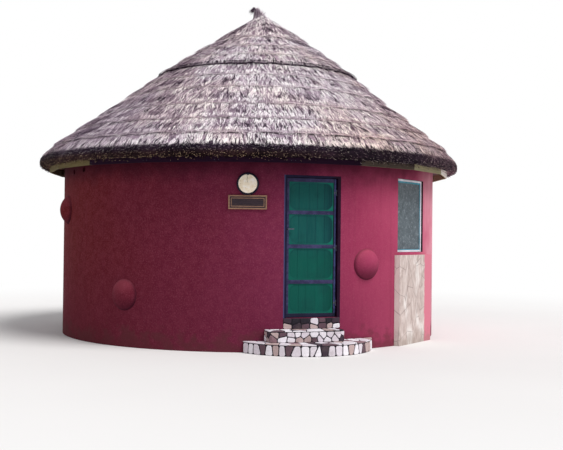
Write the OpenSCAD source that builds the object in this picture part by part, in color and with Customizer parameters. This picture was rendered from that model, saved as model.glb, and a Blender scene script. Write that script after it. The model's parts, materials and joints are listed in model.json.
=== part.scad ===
// Rondavel hut: a round masonry room on a raised floor, under a thatched cone roof.
// Millimetres, +Z up. The origin is on the hut's axis at ground level, and the door faces -Y.
// Azimuths are in degrees from the door, positive to the right of someone who faces the door.

/* [Room] */
// Outer radius of the round wall
wall_r = 3300; // [2600:10:4200]
// Thickness of the wall
wall_t = 200; // [120:5:300]
// Height of the floor above the ground
floor_z = 500; // [350:10:800]
// Thickness of the floor slab
floor_t = 100; // [60:5:150]

/* [Roof] */
// Pitch of the thatch in degrees
roof_pitch = 36.8; // [30:0.1:42]
// Height of the thatch's outer surface over the outer face of the wall
roof_z = 3390; // [3350:5:4200]
// Thickness of the thatch, measured plumb
thatch_v = 310; // [200:5:400]
// Distance from the wall's outer face to the edge of the thatch
eave_out = 430; // [380:10:700]
// Height of the step at the lower edge of each course
course_step = 50; // [30:1:70]
// Length of each course that laps over the one below it
course_lap = 90; // [60:5:120]
// Clearance between a hanging course edge and the course below it
course_clear = 28; // [20:1:32]
// Radius of the straw bundle that stands at the peak
tuft_r = 84; // [70:2:110]
// Height of the bundle's top over the cap's peak
tuft_h = 165; // [100:5:250]
// Distance from the cap's peak to the middle of the bundle
tuft_shift = 82; // [0:2:100]
// Sideways lean of the roof's peak, per unit of height
roof_lean = 0.08; // [0:0.01:0.08]
// Azimuth that the peak leans towards
lean_azimuth = 73; // [-180:1:180]

/* [Roof frame] */
// Number of rafters, and of fascia boards between their ends
rafter_count = 20; // [14:1:20]
// Diameter of a rafter pole
rafter_d = 75; // [60:1:78]
// Diameter of the purlin rings
purlin_d = 40; // [30:1:50]
// Width of the timber plate on the wall
plate_w = 120; // [80:5:160]
// Height of the timber plate on the wall
plate_h = 100; // [60:5:120]
// Depth of the notch by which a rafter sits on the plate
notch_h = 20; // [10:1:30]
// Radius of the hub that the rafters meet at
hub_r = 262; // [255:1:320]
// Height of the hub
hub_h = 170; // [120:5:200]
// Distance from the wall's outer face to the corners of the fascia
fascia_out = 256; // [200:5:360]
// Height of a fascia board
fascia_h = 120; // [80:5:140]
// Thickness of a fascia board
fascia_t = 25; // [18:1:35]

/* [Doorway] */
// Width of the doorway in the wall
door_w = 900; // [800:10:1100]
// Height of the doorway above the floor
door_h = 2110; // [1950:10:2200]
// Width of a jamb, seen from the front
jamb_w = 47; // [35:1:70]
// Height of the frame's head
head_h = 33; // [30:1:60]
// Depth of the door frame
frame_d = 120; // [90:5:150]
// Distance from the front of the frame to the front of the leaf
leaf_recess = 45; // [30:1:60]
// Thickness of the door leaf
leaf_t = 35; // [28:1:45]
// Clearance between the leaf and the frame
leaf_clear = 7; // [6:0.5:9]
// Width of the leaf's stiles
stile_w = 39; // [36:1:70]
// Height of the leaf's rails
rail_h = 56; // [35:1:80]
// Heights of the leaf's panels from the bottom up, as shares of the room between its rails
panel_share = [0.246, 0.264, 0.251, 0.239]; // [0.1:0.001:0.5]
// Diameter of the hinge knuckles
knuckle_d = 12; // [8:1:14]

/* [Windows] */
// Azimuth of the front window
window_azimuth = 36.3; // [30:0.1:60]
// Width of a window opening
window_w = 890; // [600:5:1000]
// Height of the window sill above the ground
window_sill = 1470; // [1300:5:1600]
// Height of a window opening
window_h = 1170; // [800:5:1200]
// Width of a window frame's members, seen from the front
sash_w = 32; // [20:1:50]
// Depth of a window frame
sash_d = 50; // [40:1:80]
// Distance from the front of the opening back to the window frame
window_recess = 30; // [0:5:80]
// Width of the stone panel under a window
slab_w = 1150; // [900:10:1300]
// Height of the stone panel under a window
slab_h = 1425; // [1000:5:1440]
// Distance that the stone panel stands out from the wall
slab_out = 42; // [25:1:80]
// Width of the joint in the middle of the stone panel
slab_joint = 6; // [3:1:12]
// Azimuth of the stone panel's middle from the middle of its window
slab_turn = 1; // [-2:0.5:2]

/* [Wall pieces] */
// Diameter of the plaster bosses where they meet the wall
boss_d = 480; // [300:10:600]
// Distance that a boss stands out from the wall
boss_out = 130; // [80:5:180]
// Diameter of the two vent holes
vent_d = 90; // [60:5:120]
// Azimuth of the lamp and of the sign below it
lamp_azimuth = -17.2; // [-30:0.1:-12]
// Height of the lamp's centre above the ground
lamp_z = 2465; // [2300:5:2550]
// Outer diameter of the lamp
lamp_d = 330; // [220:5:360]
// Width of the sign board
sign_w = 565; // [400:5:700]
// Height of the sign board
sign_h = 205; // [150:5:240]

/* [Steps] */
// Height of one step
step_h = 170; // [140:5:200]
// Radius of the low step's round edge
low_step_r = 1160; // [1000:10:1400]
// Distance that the low step reaches out from the wall
low_step_out = 580; // [450:10:750]
// Distance that the middle step reaches out from the wall
mid_step_out = 260; // [220:10:350]
// Width of the middle step
mid_step_w = 1180; // [1000:10:1300]
// Distance of the middle step's centre to the left of the door's centre
mid_step_shift = 140; // [0:10:200]

/* [Hidden] */

$fn = 96;
cut = 50;         // how far a cutting shape runs past the piece that it cuts
seat_clear = 3;   // clearance between roof poles that lie on each other
joint = 0.5;      // gap between pieces that meet on a round, slanted or bedded face

red = [0.50, 0.13, 0.24];
concrete = [0.62, 0.60, 0.57];
timber = [0.45, 0.42, 0.30];
pole_brown = [0.40, 0.30, 0.20];
straw = [0.52, 0.45, 0.44];
frame_paint = [0.20, 0.18, 0.27];
green = [0.08, 0.36, 0.30];
stone = [0.78, 0.73, 0.68];
steel = [0.60, 0.60, 0.62];

// Wall and openings
wall_in = wall_r - wall_t;
door_top = floor_z + door_h;
back_window = window_azimuth - 180;
window_top = window_sill + window_h;
// Azimuths where the plain wall is divided: in thirds left of the door, and in quarters from
// the front window round the right side to the back window
seam_left = back_window / 3;
seam_back_left = back_window * 2 / 3;
seam_right = window_azimuth + 45;
seam_right_rear = window_azimuth + 90;
seam_back = window_azimuth + 135;
// Azimuth and height of each boss: three on the front half, three on the back half
bosses = [[16.3, 1290], [-51.7, 790], [-83.7, 2110], [104, 1700], [146, 900], [-112, 1250]];
// Azimuth and height of each vent hole
vents = [[-77.5, 2725], [-70.5, 2745]];

// Roof lines: the envelope is the straight cone that the lower edge of every course is set from
roof_tan = tan(roof_pitch);
peak_z = roof_z + wall_r * roof_tan;
eave_r = wall_r + eave_out;
function envelope_z(r) = peak_z - r * roof_tan;
function under_z(r) = envelope_z(r) - thatch_v;
function under_r(z) = (peak_z - thatch_v - z) / roof_tan;

// Lower edge of each course, and at the end of the cap, as a share of the eave's radius
course_share = [1, 0.94, 0.85, 0.753, 0.636, 0.553, 0.482, 0.4, 0.323, 0.231];
// Height of each of these edges over the straight cone, where the roof swells
course_swell = [0, 0, 0, 0, 5, 20, 40, 45, 30, 0];
cap = len(course_share) - 1;
function edge_r(i) = eave_r * course_share[i];
function edge_z(i) = envelope_z(edge_r(i)) + course_swell[i];
function top_slope(i) = (edge_z(i + 1) - course_step - edge_z(i)) / (edge_r(i) - edge_r(i + 1));
function top_z(i, r) = edge_z(i) + (edge_r(i) - r) * top_slope(i);
function seat_r(i) = edge_r(i) - course_lap;
function seat_z(i) = top_z(i - 1, seat_r(i));

// The peak's lean, as a sideways shift that grows with height from the wall plate up
plate_r = wall_r - wall_t / 2;
lean_dir = [sin(lean_azimuth), -cos(lean_azimuth), 0];
function lean(z) = lean_dir * roof_lean * (z - under_z(plate_r));
function course_mid_z(i) = (seat_z(i) + seat_z(i + 1)) / 2;
// The cap's peak lies below the straight cone's own
cap_drop = 95;
cap_peak = peak_z - cap_drop;
function course_lean(i) = i == 0 ? [0, 0, 0] :
    i == cap ? lean((2 * seat_z(cap) + cap_peak) / 3) : lean(course_mid_z(i));

// Rafters hang below the purlins, and the plate and the wall rise to meet them
rafter_drop = (purlin_d + 2 * seat_clear + rafter_d / 2) / cos(roof_pitch);
function rafter_z(r) = under_z(r) - rafter_drop;
function rafter_point(r, a) = [r * sin(a), -r * cos(a), rafter_z(r)] + lean(under_z(r));
plate_top = round(rafter_z(plate_r) - rafter_d / 2 / cos(roof_pitch)) + notch_h;
wall_top = plate_top - plate_h;
fascia_step = 360 / rafter_count;
fascia_azimuth = 11.5;   // azimuth of one corner of the fascia
fascia_r = wall_r + fascia_out;
fascia_in = fascia_r - fascia_t / cos(fascia_step / 2);
fascia_top = under_z(fascia_r);
fascia_z = fascia_top - fascia_h;
function ring_points(r) = [for (k = [0 : rafter_count - 1])
    [r * sin(fascia_azimuth + k * fascia_step), -r * cos(fascia_azimuth + k * fascia_step)]];

// Door, from the face of the wall at the doorway inwards
door_face = sqrt(pow(wall_r, 2) - pow(door_w / 2, 2));
frame_y = -door_face;
leaf_y = frame_y + leaf_recess;
frame_in = door_w / 2 - jamb_w;
hinge_x = frame_in - leaf_clear - knuckle_d / 2;
hinge_y = leaf_y - knuckle_d / 2 - 1;
leaf_right = hinge_x - 1;
leaf_left = -frame_in + leaf_clear;
leaf_w = leaf_right - leaf_left;
leaf_z = floor_z + leaf_clear;
leaf_h = door_h - head_h - 2 * leaf_clear;
panel_w = leaf_w - 2 * stile_w;
panel_count = len(panel_share);
function share_below(i) = i == 0 ? 0 : share_below(i - 1) + panel_share[i - 1];
panel_unit = (leaf_h - (panel_count + 1) * rail_h) / share_below(panel_count);
function panel_h(i) = panel_unit * panel_share[i];
function panel_z(i) = leaf_z + rail_h * (i + 1) + panel_unit * share_below(i);
panel_t = leaf_t / 2;

// Windows and stone panels, in line with a window's own axis
window_face = sqrt(pow(wall_r, 2) - pow(window_w / 2, 2)) - window_recess;
pane_t = 8;
pane_recess = 18;

// Turns a piece that was drawn at the door to an azimuth
module at_azimuth(a) {
    rotate([0, 0, a]) children();
}

// Part of the round wall between two azimuths, from z0 up to z1, half a joint short at each end
module wall_arc(a0, a1, z0, z1) {
    half_joint = joint / 2 / wall_in * 180 / PI;
    rotate([0, 0, a0 + half_joint - 90])
        rotate_extrude(angle = a1 - a0 - 2 * half_joint, $fn = 360)
            translate([wall_in, z0]) square([wall_t, z1 - z0]);
}

// Upright block across the wall, as wide as an opening, centred on the door's azimuth
module opening_block(w, z0, z1) {
    translate([-w / 2, -wall_r - cut, z0]) cube([w, wall_t + 4 * cut, z1 - z0]);
}

module door_block(z0, z1) {
    opening_block(door_w, z0, z1);
}

module window_block(a, z0, z1) {
    at_azimuth(a) opening_block(window_w, z0, z1);
}

// Round bar from one point to another
module rod(p, q, d) {
    v = q - p;
    translate(p)
        rotate([0, acos(v[2] / norm(v)), atan2(v[1], v[0])])
            rotate([0, 0, 40]) cylinder(h = norm(v), d = d);
}

// Everything inside the outer face of the wall and its bed joint, for cutting what is set on it
module wall_core() {
    translate([0, 0, -cut]) cylinder(r = wall_r + joint, h = wall_top + 2 * cut, $fn = 720);
}

module base_fill() {
    color(concrete) cylinder(r = wall_in - joint, h = floor_z - floor_t);
}

module floor_slab() {
    color(concrete) translate([0, 0, floor_z - floor_t]) cylinder(r = wall_in - joint, h = floor_t);
}

module wall_front_left() {
    color(red) difference() {
        wall_arc(seam_left, 0, 0, wall_top);
        door_block(-cut, wall_top + cut);
    }
}

module wall_left() {
    color(red) difference() {
        wall_arc(seam_back_left, seam_left, 0, wall_top);
        for (v = vents)
            at_azimuth(v[0])
                translate([0, -wall_r - cut, v[1]])
                    rotate([-90, 0, 0]) cylinder(d = vent_d, h = wall_t + 2 * cut);
    }
}

module wall_back_left() {
    color(red) difference() {
        wall_arc(back_window, seam_back_left, 0, wall_top);
        window_block(back_window, -cut, wall_top + cut);
    }
}

module wall_back() {
    color(red) difference() {
        wall_arc(seam_back, back_window + 360, 0, wall_top);
        window_block(back_window, -cut, wall_top + cut);
    }
}

module wall_back_right() {
    color(red) wall_arc(seam_right_rear, seam_back, 0, wall_top);
}

module wall_right_rear() {
    color(red) wall_arc(seam_right, seam_right_rear, 0, wall_top);
}

module wall_right() {
    color(red) difference() {
        wall_arc(window_azimuth, seam_right, 0, wall_top);
        window_block(window_azimuth, -cut, wall_top + cut);
    }
}

module wall_front_right() {
    color(red) difference() {
        wall_arc(0, window_azimuth, 0, wall_top);
        door_block(-cut, wall_top + cut);
        window_block(window_azimuth, -cut, wall_top + cut);
    }
}

module wall_over_door() {
    color(red) intersection() {
        wall_arc(-20, 20, door_top, wall_top);
        door_block(door_top, wall_top);
    }
}

module wall_under_door() {
    color(red) intersection() {
        wall_arc(-20, 20, 0, floor_z);
        door_block(0, floor_z);
    }
}

module walls_over_windows() {
    color(red) for (a = [window_azimuth, back_window])
        intersection() {
            wall_arc(a - 20, a + 20, window_top, wall_top);
            window_block(a, window_top, wall_top);
        }
}

module walls_under_windows() {
    color(red) for (a = [window_azimuth, back_window])
        intersection() {
            wall_arc(a - 20, a + 20, 0, window_sill);
            window_block(a, 0, window_sill);
        }
}

// The plate lies in a bed joint on the wall
module plate_ring() {
    translate([0, 0, wall_top + joint])
        rotate_extrude()
            translate([plate_r - plate_w / 2, 0]) square([plate_w, plate_h - joint]);
}

module wall_plate() {
    color(timber) plate_ring();
}

module hub_disc() {
    translate([0, 0, under_z(hub_r) - seat_clear - hub_h] + course_lean(cap))
        cylinder(r = hub_r, h = hub_h);
}

// Room over the wall's top edge, cut from the rafters where the wall rises close to them
module wall_head() {
    cylinder(r = wall_r + seat_clear, h = wall_top + seat_clear, $fn = 360);
}

module rafters() {
    color(pole_brown) difference() {
        intersection() {
            union() for (k = [0 : rafter_count - 1])
                rod(rafter_point(fascia_r + cut, fascia_azimuth + k * fascia_step),
                    rafter_point(hub_r - cut, fascia_azimuth + k * fascia_step), rafter_d);
            translate([0, 0, fascia_z]) linear_extrude(peak_z) polygon(ring_points(fascia_in - joint));
        }
        wall_head();
        plate_ring();
        hub_disc();
    }
}

// One ring under each course, between the underside of the thatch and the rafters
module purlins() {
    color(pole_brown) for (i = [0 : cap - 1]) {
        r = i == 0 ? plate_r + plate_w / 2 : under_r(course_mid_z(i));
        below = purlin_d / 2 + seat_clear;
        translate(course_lean(i))
            rotate_extrude()
                translate([r - below * sin(roof_pitch), under_z(r) - below * cos(roof_pitch)])
                    circle(d = purlin_d, $fn = 24);
    }
}

module apex_hub() {
    color(pole_brown) hub_disc();
}

module fascia_boards() {
    half = fascia_step / 2;
    color(timber) for (k = [0 : rafter_count - 1])
        at_azimuth(fascia_azimuth + (k + 0.5) * fascia_step)
            translate([0, 0, fascia_z])
                linear_extrude(fascia_h)
                    polygon([[-fascia_r * sin(half) + joint, -fascia_r * cos(half)],
                        [fascia_r * sin(half) - joint, -fascia_r * cos(half)],
                        [fascia_in * sin(half) - joint, -fascia_in * cos(half)],
                        [-fascia_in * sin(half) + joint, -fascia_in * cos(half)]]);
}

// Half-outlines of the thatch, in radius and height
function arc_points(c, r, a0, a1, n) =
    [for (k = [0 : n]) c + r * [cos(a0 + (a1 - a0) * k / n), sin(a0 + (a1 - a0) * k / n)]];

// Underside at the lower end of a course, from the ceiling out to the hanging edge
function seat_points(i) = [
    [under_r(seat_z(i)), seat_z(i)],
    [seat_r(i) + course_clear, seat_z(i)],
    [edge_r(i), top_z(i - 1, edge_r(i)) + course_clear * top_slope(i - 1)],
    [edge_r(i), edge_z(i)]];

// Upper end of a course, where the next course lies on it
function head_points(i) = [
    [seat_r(i + 1), seat_z(i + 1)],
    [under_r(seat_z(i + 1)), seat_z(i + 1)]];

// The eave's blunt edge, from its foot round to where the next course hangs over it
eave_round = thatch_v * 0.35;
eave_drop = thatch_v * 0.45;
eave_foot_r = eave_r - thatch_v * 0.37;
function eave_points() = concat(
    [[eave_foot_r, under_z(eave_foot_r)]],
    arc_points([eave_r - eave_round, edge_z(0) - eave_drop], eave_round, -55, 60, 10),
    [[edge_r(1), top_z(0, edge_r(1))]]);

module thatch_course(i) {
    outline = concat(i == 0 ? eave_points() : seat_points(i), head_points(i));
    color(straw) translate(course_lean(i)) rotate_extrude() polygon(outline);
}

module thatch_course_1() { thatch_course(0); }
module thatch_course_2() { thatch_course(1); }
module thatch_course_3() { thatch_course(2); }
module thatch_course_4() { thatch_course(3); }
module thatch_course_5() { thatch_course(4); }
module thatch_course_6() { thatch_course(5); }
module thatch_course_7() { thatch_course(6); }
module thatch_course_8() { thatch_course(7); }
module thatch_course_9() { thatch_course(8); }

// The cap runs straight up to a rounded crown
crown_r = 110;
cap_slope = (cap_peak - edge_z(cap)) / edge_r(cap);
function cap_z(r) = cap_peak - r * cap_slope;
module cap_solid() {
    crown = [for (share = [1 : -0.25 : 0])
        [crown_r * share, cap_z(crown_r) + cap_slope * crown_r * (1 - share * share) / 2]];
    translate(course_lean(cap))
        rotate_extrude() polygon(concat([[0, under_z(0)]], seat_points(cap), crown));
}

module thatch_cap() {
    color(straw) cap_solid();
}

// Bundle of straw beside the crown, seated on the slope of the cap
module cap_tuft() {
    foot = cap_z(tuft_shift + tuft_r) - joint;
    top = cap_peak + tuft_h;
    color(straw) difference() {
        translate(course_lean(cap) - lean_dir * tuft_shift)
            rotate_extrude()
                polygon([[0, foot], [tuft_r * 0.9, foot], [tuft_r, top - tuft_h * 0.3],
                    [tuft_r * 0.6, top], [0, top]]);
        translate([0, 0, joint]) cap_solid();
    }
}

// Jambs and head, set in the doorway on the floor
module door_frame() {
    color(frame_paint) translate([0, frame_y, floor_z])
        difference() {
            translate([-door_w / 2, 0, 0]) cube([door_w, frame_d, door_h]);
            translate([-frame_in, -cut, -cut]) cube([2 * frame_in, frame_d + 2 * cut, door_h - head_h + cut]);
        }
}

// Three hinges, each with three knuckles of the same height
hinge_zs = [for (share = [0.1, 0.5, 0.9]) leaf_z + leaf_h * share];
knuckle_pitch = 30;
knuckle_h = knuckle_pitch - 2 * joint;
flap_w = 34;
flap_t = 3;

module knuckle() {
    translate([hinge_x, hinge_y, -knuckle_h / 2]) cylinder(d = knuckle_d, h = knuckle_h);
}

// The outer two knuckles of each hinge, each with a flap that is fixed to the jamb
module frame_hinges() {
    color(steel) for (z = hinge_zs)
        for (side = [-1, 1])
            translate([0, 0, z + side * knuckle_pitch]) {
                knuckle();
                translate([hinge_x, hinge_y - flap_t / 2, -knuckle_h / 2])
                    cube([frame_in - hinge_x, flap_t, knuckle_h]);
            }
}

// The middle knuckle of each hinge, with a flap on the leaf
module door_hinges() {
    color(steel) for (z = hinge_zs)
        translate([0, 0, z]) {
            knuckle();
            translate([hinge_x - flap_w, leaf_y - flap_t, -knuckle_h / 2])
                cube([flap_w, flap_t, knuckle_h]);
        }
}

module door_leaf() {
    color(frame_paint) difference() {
        translate([leaf_left, leaf_y, leaf_z]) cube([leaf_w, leaf_t, leaf_h]);
        for (i = [0 : panel_count - 1])
            translate([leaf_left + stile_w, leaf_y - cut, panel_z(i)])
                cube([panel_w, leaf_t + 2 * cut, panel_h(i)]);
    }
}

// Boards set in the leaf, each with a shallow field that has round corners
module door_panels() {
    field_in = 14;
    field_depth = 4;
    corner = 110;
    color(green) for (i = [0 : panel_count - 1])
        translate([leaf_left + stile_w, leaf_y + (leaf_t - panel_t) / 2, panel_z(i)])
            difference() {
                cube([panel_w, panel_t, panel_h(i)]);
                rotate([90, 0, 0]) translate([0, 0, -field_depth]) linear_extrude(cut)
                    round_field(panel_w, panel_h(i), field_in, corner);
            }
}

// Rectangle w by h, brought in by m on each side, with corners of radius r
module round_field(w, h, m, r) {
    translate([m + r, m]) square([w - 2 * (m + r), h - 2 * m]);
    translate([m, m + r]) square([w - 2 * m, h - 2 * (m + r)]);
    for (x = [m + r, w - m - r])
        for (y = [m + r, h - m - r])
            translate([x, y]) circle(r = r, $fn = 48);
}

// Pull on the stile away from the hinges: a rose, a stem and a level grip
handle_z = 1305;     // height above the foot of the leaf
rose_d = 26;
rose_t = 8;
stem_d = 14;
handle_out = 46;
grip = [95, 12, 16];
module door_handle() {
    color(steel) translate([leaf_left + stile_w / 2, leaf_y, leaf_z + handle_z]) {
        rotate([90, 0, 0]) cylinder(d = rose_d, h = rose_t);
        rotate([90, 0, 0]) cylinder(d = stem_d, h = handle_out - grip[1] / 2);
        translate([-grip[2] / 2, -handle_out, -grip[2] / 2]) cube(grip);
    }
}

module window_frames() {
    color(stone) for (a = [window_azimuth, back_window])
        at_azimuth(a) translate([-window_w / 2, -window_face, window_sill])
            difference() {
                translate([joint, 0, 0]) cube([window_w - 2 * joint, sash_d, window_h]);
                translate([sash_w, -cut, sash_w])
                    cube([window_w - 2 * sash_w, sash_d + 2 * cut, window_h - 2 * sash_w]);
            }
}

module window_panes() {
    color(steel) for (a = [window_azimuth, back_window])
        at_azimuth(a) translate([-window_w / 2 + sash_w, -window_face + pane_recess, window_sill + sash_w])
            cube([window_w - 2 * sash_w, pane_t, window_h - 2 * sash_w]);
}

// Two flat stone slabs below each window, bedded on the round wall
module slab_panels() {
    half = (slab_w - slab_joint) / 2;
    color(stone) for (a = [window_azimuth, back_window])
        difference() {
            at_azimuth(a + slab_turn) for (x = [-slab_w / 2, slab_joint / 2])
                translate([x, -wall_r - slab_out, 0]) cube([half, slab_out + cut * 3, slab_h]);
            wall_core();
        }
}

// Half-round plaster bosses, each the cap of a ball that stands out of the wall
module wall_bosses() {
    ball_r = (pow(boss_d / 2, 2) + pow(boss_out, 2)) / (2 * boss_out);
    color(red) difference() {
        for (b = bosses)
            at_azimuth(b[0])
                translate([0, -wall_r - boss_out + ball_r, b[1]]) sphere(r = ball_r);
        wall_core();
    }
}

lamp_rim = lamp_d * 0.13;
lamp_out = 62;
lens_dome = 26;
lens_set = 14;       // depth of the lens's edge below the rim
module lamp_ring() {
    color(frame_paint) difference() {
        at_azimuth(lamp_azimuth) translate([0, -wall_r, lamp_z])
            rotate([90, 0, 0])
                rotate_extrude()
                    polygon(concat([[lamp_d / 2 - lamp_rim, -cut], [lamp_d / 2, -cut]],
                        arc_points([lamp_d / 2 - lamp_rim / 2, lamp_out - lamp_rim / 2],
                            lamp_rim / 2, 0, 180, 10)));
        wall_core();
    }
}

// Shallow domed glass inside the ring
module lamp_lens() {
    lens_r = lamp_d / 2 - lamp_rim - joint;
    ball_r = (pow(lens_r, 2) + pow(lens_dome, 2)) / (2 * lens_dome);
    color([0.85, 0.77, 0.66]) difference() {
        at_azimuth(lamp_azimuth) translate([0, -wall_r, lamp_z])
            rotate([90, 0, 0]) intersection() {
                translate([0, 0, -cut]) cylinder(r = lens_r, h = 3 * cut);
                translate([0, 0, lamp_out + lens_dome - lens_set - ball_r]) sphere(r = ball_r);
            }
        wall_core();
    }
}

sign_t = 24;
sign_rim = 20;
sign_sunk = 6;
sign_gap = 2;        // gap between the lamp and the board below it
module sign_board() {
    top = lamp_z - lamp_d / 2 - sign_gap;
    color(timber) difference() {
        at_azimuth(lamp_azimuth) translate([-sign_w / 2, -wall_r - sign_t, top - sign_h])
            difference() {
                cube([sign_w, sign_t + cut, sign_h]);
                translate([sign_rim, -cut, sign_rim])
                    cube([sign_w - 2 * sign_rim, cut + sign_sunk, sign_h - 2 * sign_rim]);
            }
        wall_core();
    }
}

// Low step: a round slab that the wall cuts into
module step_low() {
    centre = wall_r + low_step_out - low_step_r;
    color(stone) difference() {
        translate([0, -centre, 0]) cylinder(r = low_step_r, h = step_h, $fn = 240);
        wall_core();
    }
}

// Middle step: a band along the wall with round front corners
module step_mid_outline() {
    corner = 90;
    corner_y = 130;   // corners' centres, back from the middle of the step's round front
    front = wall_r + mid_step_out;
    half = mid_step_w / 2;
    intersection() {
        circle(r = front, $fn = 192);
        translate([-mid_step_shift - half, -front]) {
            translate([corner, 0]) square([mid_step_w - 2 * corner, front]);
            translate([0, corner_y]) square([mid_step_w, front - corner_y]);
            for (x = [corner, mid_step_w - corner])
                translate([x, corner_y]) circle(r = corner, $fn = 48);
        }
    }
}

module step_middle() {
    color(stone) difference() {
        translate([0, 0, step_h]) linear_extrude(step_h) step_mid_outline();
        wall_core();
    }
}

base_fill();
floor_slab();
wall_front_left();
wall_left();
wall_back_left();
wall_back();
wall_back_right();
wall_right_rear();
wall_right();
wall_front_right();
wall_over_door();
wall_under_door();
walls_over_windows();
walls_under_windows();
wall_plate();
rafters();
purlins();
apex_hub();
fascia_boards();
thatch_course_1();
thatch_course_2();
thatch_course_3();
thatch_course_4();
thatch_course_5();
thatch_course_6();
thatch_course_7();
thatch_course_8();
thatch_course_9();
thatch_cap();
cap_tuft();
door_frame();
frame_hinges();
door_hinges();
door_leaf();
door_panels();
door_handle();
window_frames();
window_panes();
slab_panels();
wall_bosses();
lamp_ring();
lamp_lens();
sign_board();
step_low();
step_middle();
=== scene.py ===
"""Looks of the rondavel hut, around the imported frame. Metres, +Z up; the door faces -Y.

Azimuths are counted from the door, positive to the right of someone who faces the door. They are
in degrees, or in radians where they come as arrays.
"""

import json
from math import cos, hypot, pi, radians, sin, sqrt, tan

import bpy
import numpy as np
from mathutils import Matrix, Vector


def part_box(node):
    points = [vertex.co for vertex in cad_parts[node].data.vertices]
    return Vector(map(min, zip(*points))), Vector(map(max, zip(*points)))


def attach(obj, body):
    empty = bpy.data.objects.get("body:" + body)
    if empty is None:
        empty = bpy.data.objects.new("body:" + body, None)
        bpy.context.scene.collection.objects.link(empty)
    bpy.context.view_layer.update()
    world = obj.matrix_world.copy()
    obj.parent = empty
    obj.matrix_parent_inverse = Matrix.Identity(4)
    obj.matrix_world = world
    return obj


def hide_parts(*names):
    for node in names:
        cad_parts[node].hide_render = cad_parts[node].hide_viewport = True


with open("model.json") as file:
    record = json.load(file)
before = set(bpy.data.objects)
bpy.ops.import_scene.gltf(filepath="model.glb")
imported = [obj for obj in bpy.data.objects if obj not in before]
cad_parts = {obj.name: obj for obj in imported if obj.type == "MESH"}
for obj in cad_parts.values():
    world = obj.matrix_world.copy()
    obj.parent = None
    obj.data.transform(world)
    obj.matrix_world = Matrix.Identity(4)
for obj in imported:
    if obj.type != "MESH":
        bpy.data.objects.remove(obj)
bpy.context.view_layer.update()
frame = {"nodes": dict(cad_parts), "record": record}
nodes = frame["nodes"]

# Camera, worked out from the picture
CAMERA_PLACE = (-4.708, -15.725, 1.700)
CAMERA_YAW = 0.3266
CAMERA_PITCH = 0.0128
CAMERA_ROLL = 0.0107
CAMERA_LENS = 57.30
CAMERA_SENSOR = 36
CAMERA_FAR = 200

# Roof and wall, as far as the boxes of the frame's pieces don't give them
WALL_R = 3.300
ROOF_TAN = tan(radians(36.8))
ROOF_Z = 3.390        # height of the thatch's top over the wall's face
PEAK_Z = ROOF_Z + WALL_R * ROOF_TAN
THATCH_V = 0.310      # depth of the thatch, measured upright
COURSES = 9
COURSE_STEP = 0.050
COURSE_LAP = 0.090
COURSE_CLEAR = 0.028
CROWN_R = 0.110
WINDOW_AZIMUTH = 36.3
LAMP_AZIMUTH = -17.2
SLAB_BARE = 0.385     # where the bare stone ends, to the right of the window's middle
FASCIA_BOARDS = 20
FASCIA_AZIMUTH = 11.5
FASCIA_R = WALL_R + 0.256
UP = np.array([0, 0, 1.0])


# Small helpers

def srgb(colour):
    """A colour as it looks on a screen, 0 to 255, as the linear RGBA that shaders take."""
    shares = [value / 255 for value in colour]
    return (*(v / 12.92 if v <= 0.04045 else ((v + 0.055) / 1.055) ** 2.4 for v in shares), 1.0)


def smooth_step(low, high, x):
    t = np.clip((x - low) / (high - low), 0, 1)
    return t * t * (3 - 2 * t)


def unit(vectors):
    return vectors / np.linalg.norm(vectors, axis=1)[:, None]


def wall_axes(azimuth):
    """Directions sideways, outwards and upwards at an azimuth, as the rows of a matrix."""
    a = radians(azimuth)
    return np.array([(cos(a), sin(a), 0), (sin(a), -cos(a), 0), (0, 0, 1)])


def outwards(azimuth):
    return np.stack([np.sin(azimuth), -np.cos(azimuth), np.zeros_like(azimuth)], 1)


def swing(start, towards, angle):
    """Directions turned from one towards another by an angle."""
    return start * np.cos(angle)[:, None] + towards * np.sin(angle)[:, None]


def paced(points):
    """The steps between points, their lengths, and how far each point is along the line."""
    step = np.diff(points, axis=0)
    length = np.hypot(*step.T)
    return step, length, np.concatenate([[0], np.cumsum(length)])


class Ripple:
    """Smooth random field over azimuth and radius, which closes on itself round the roof."""

    def __init__(self, seed, waves, turns, per_metre):
        rng = np.random.default_rng(seed)
        self.turns = rng.integers(turns[0], turns[1] + 1, waves)
        self.radial = rng.uniform(*per_metre, waves) * rng.choice([-1, 1], waves)
        self.phase = rng.uniform(0, 2 * pi, waves)

    def __call__(self, azimuth, radius=0.0):
        waves = zip(self.turns, self.radial, self.phase)
        total = sum(np.sin(turns * azimuth + radial * radius + phase) for turns, radial, phase in waves)
        return total * sqrt(2 / len(self.turns))


# Meshes from arrays

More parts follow.
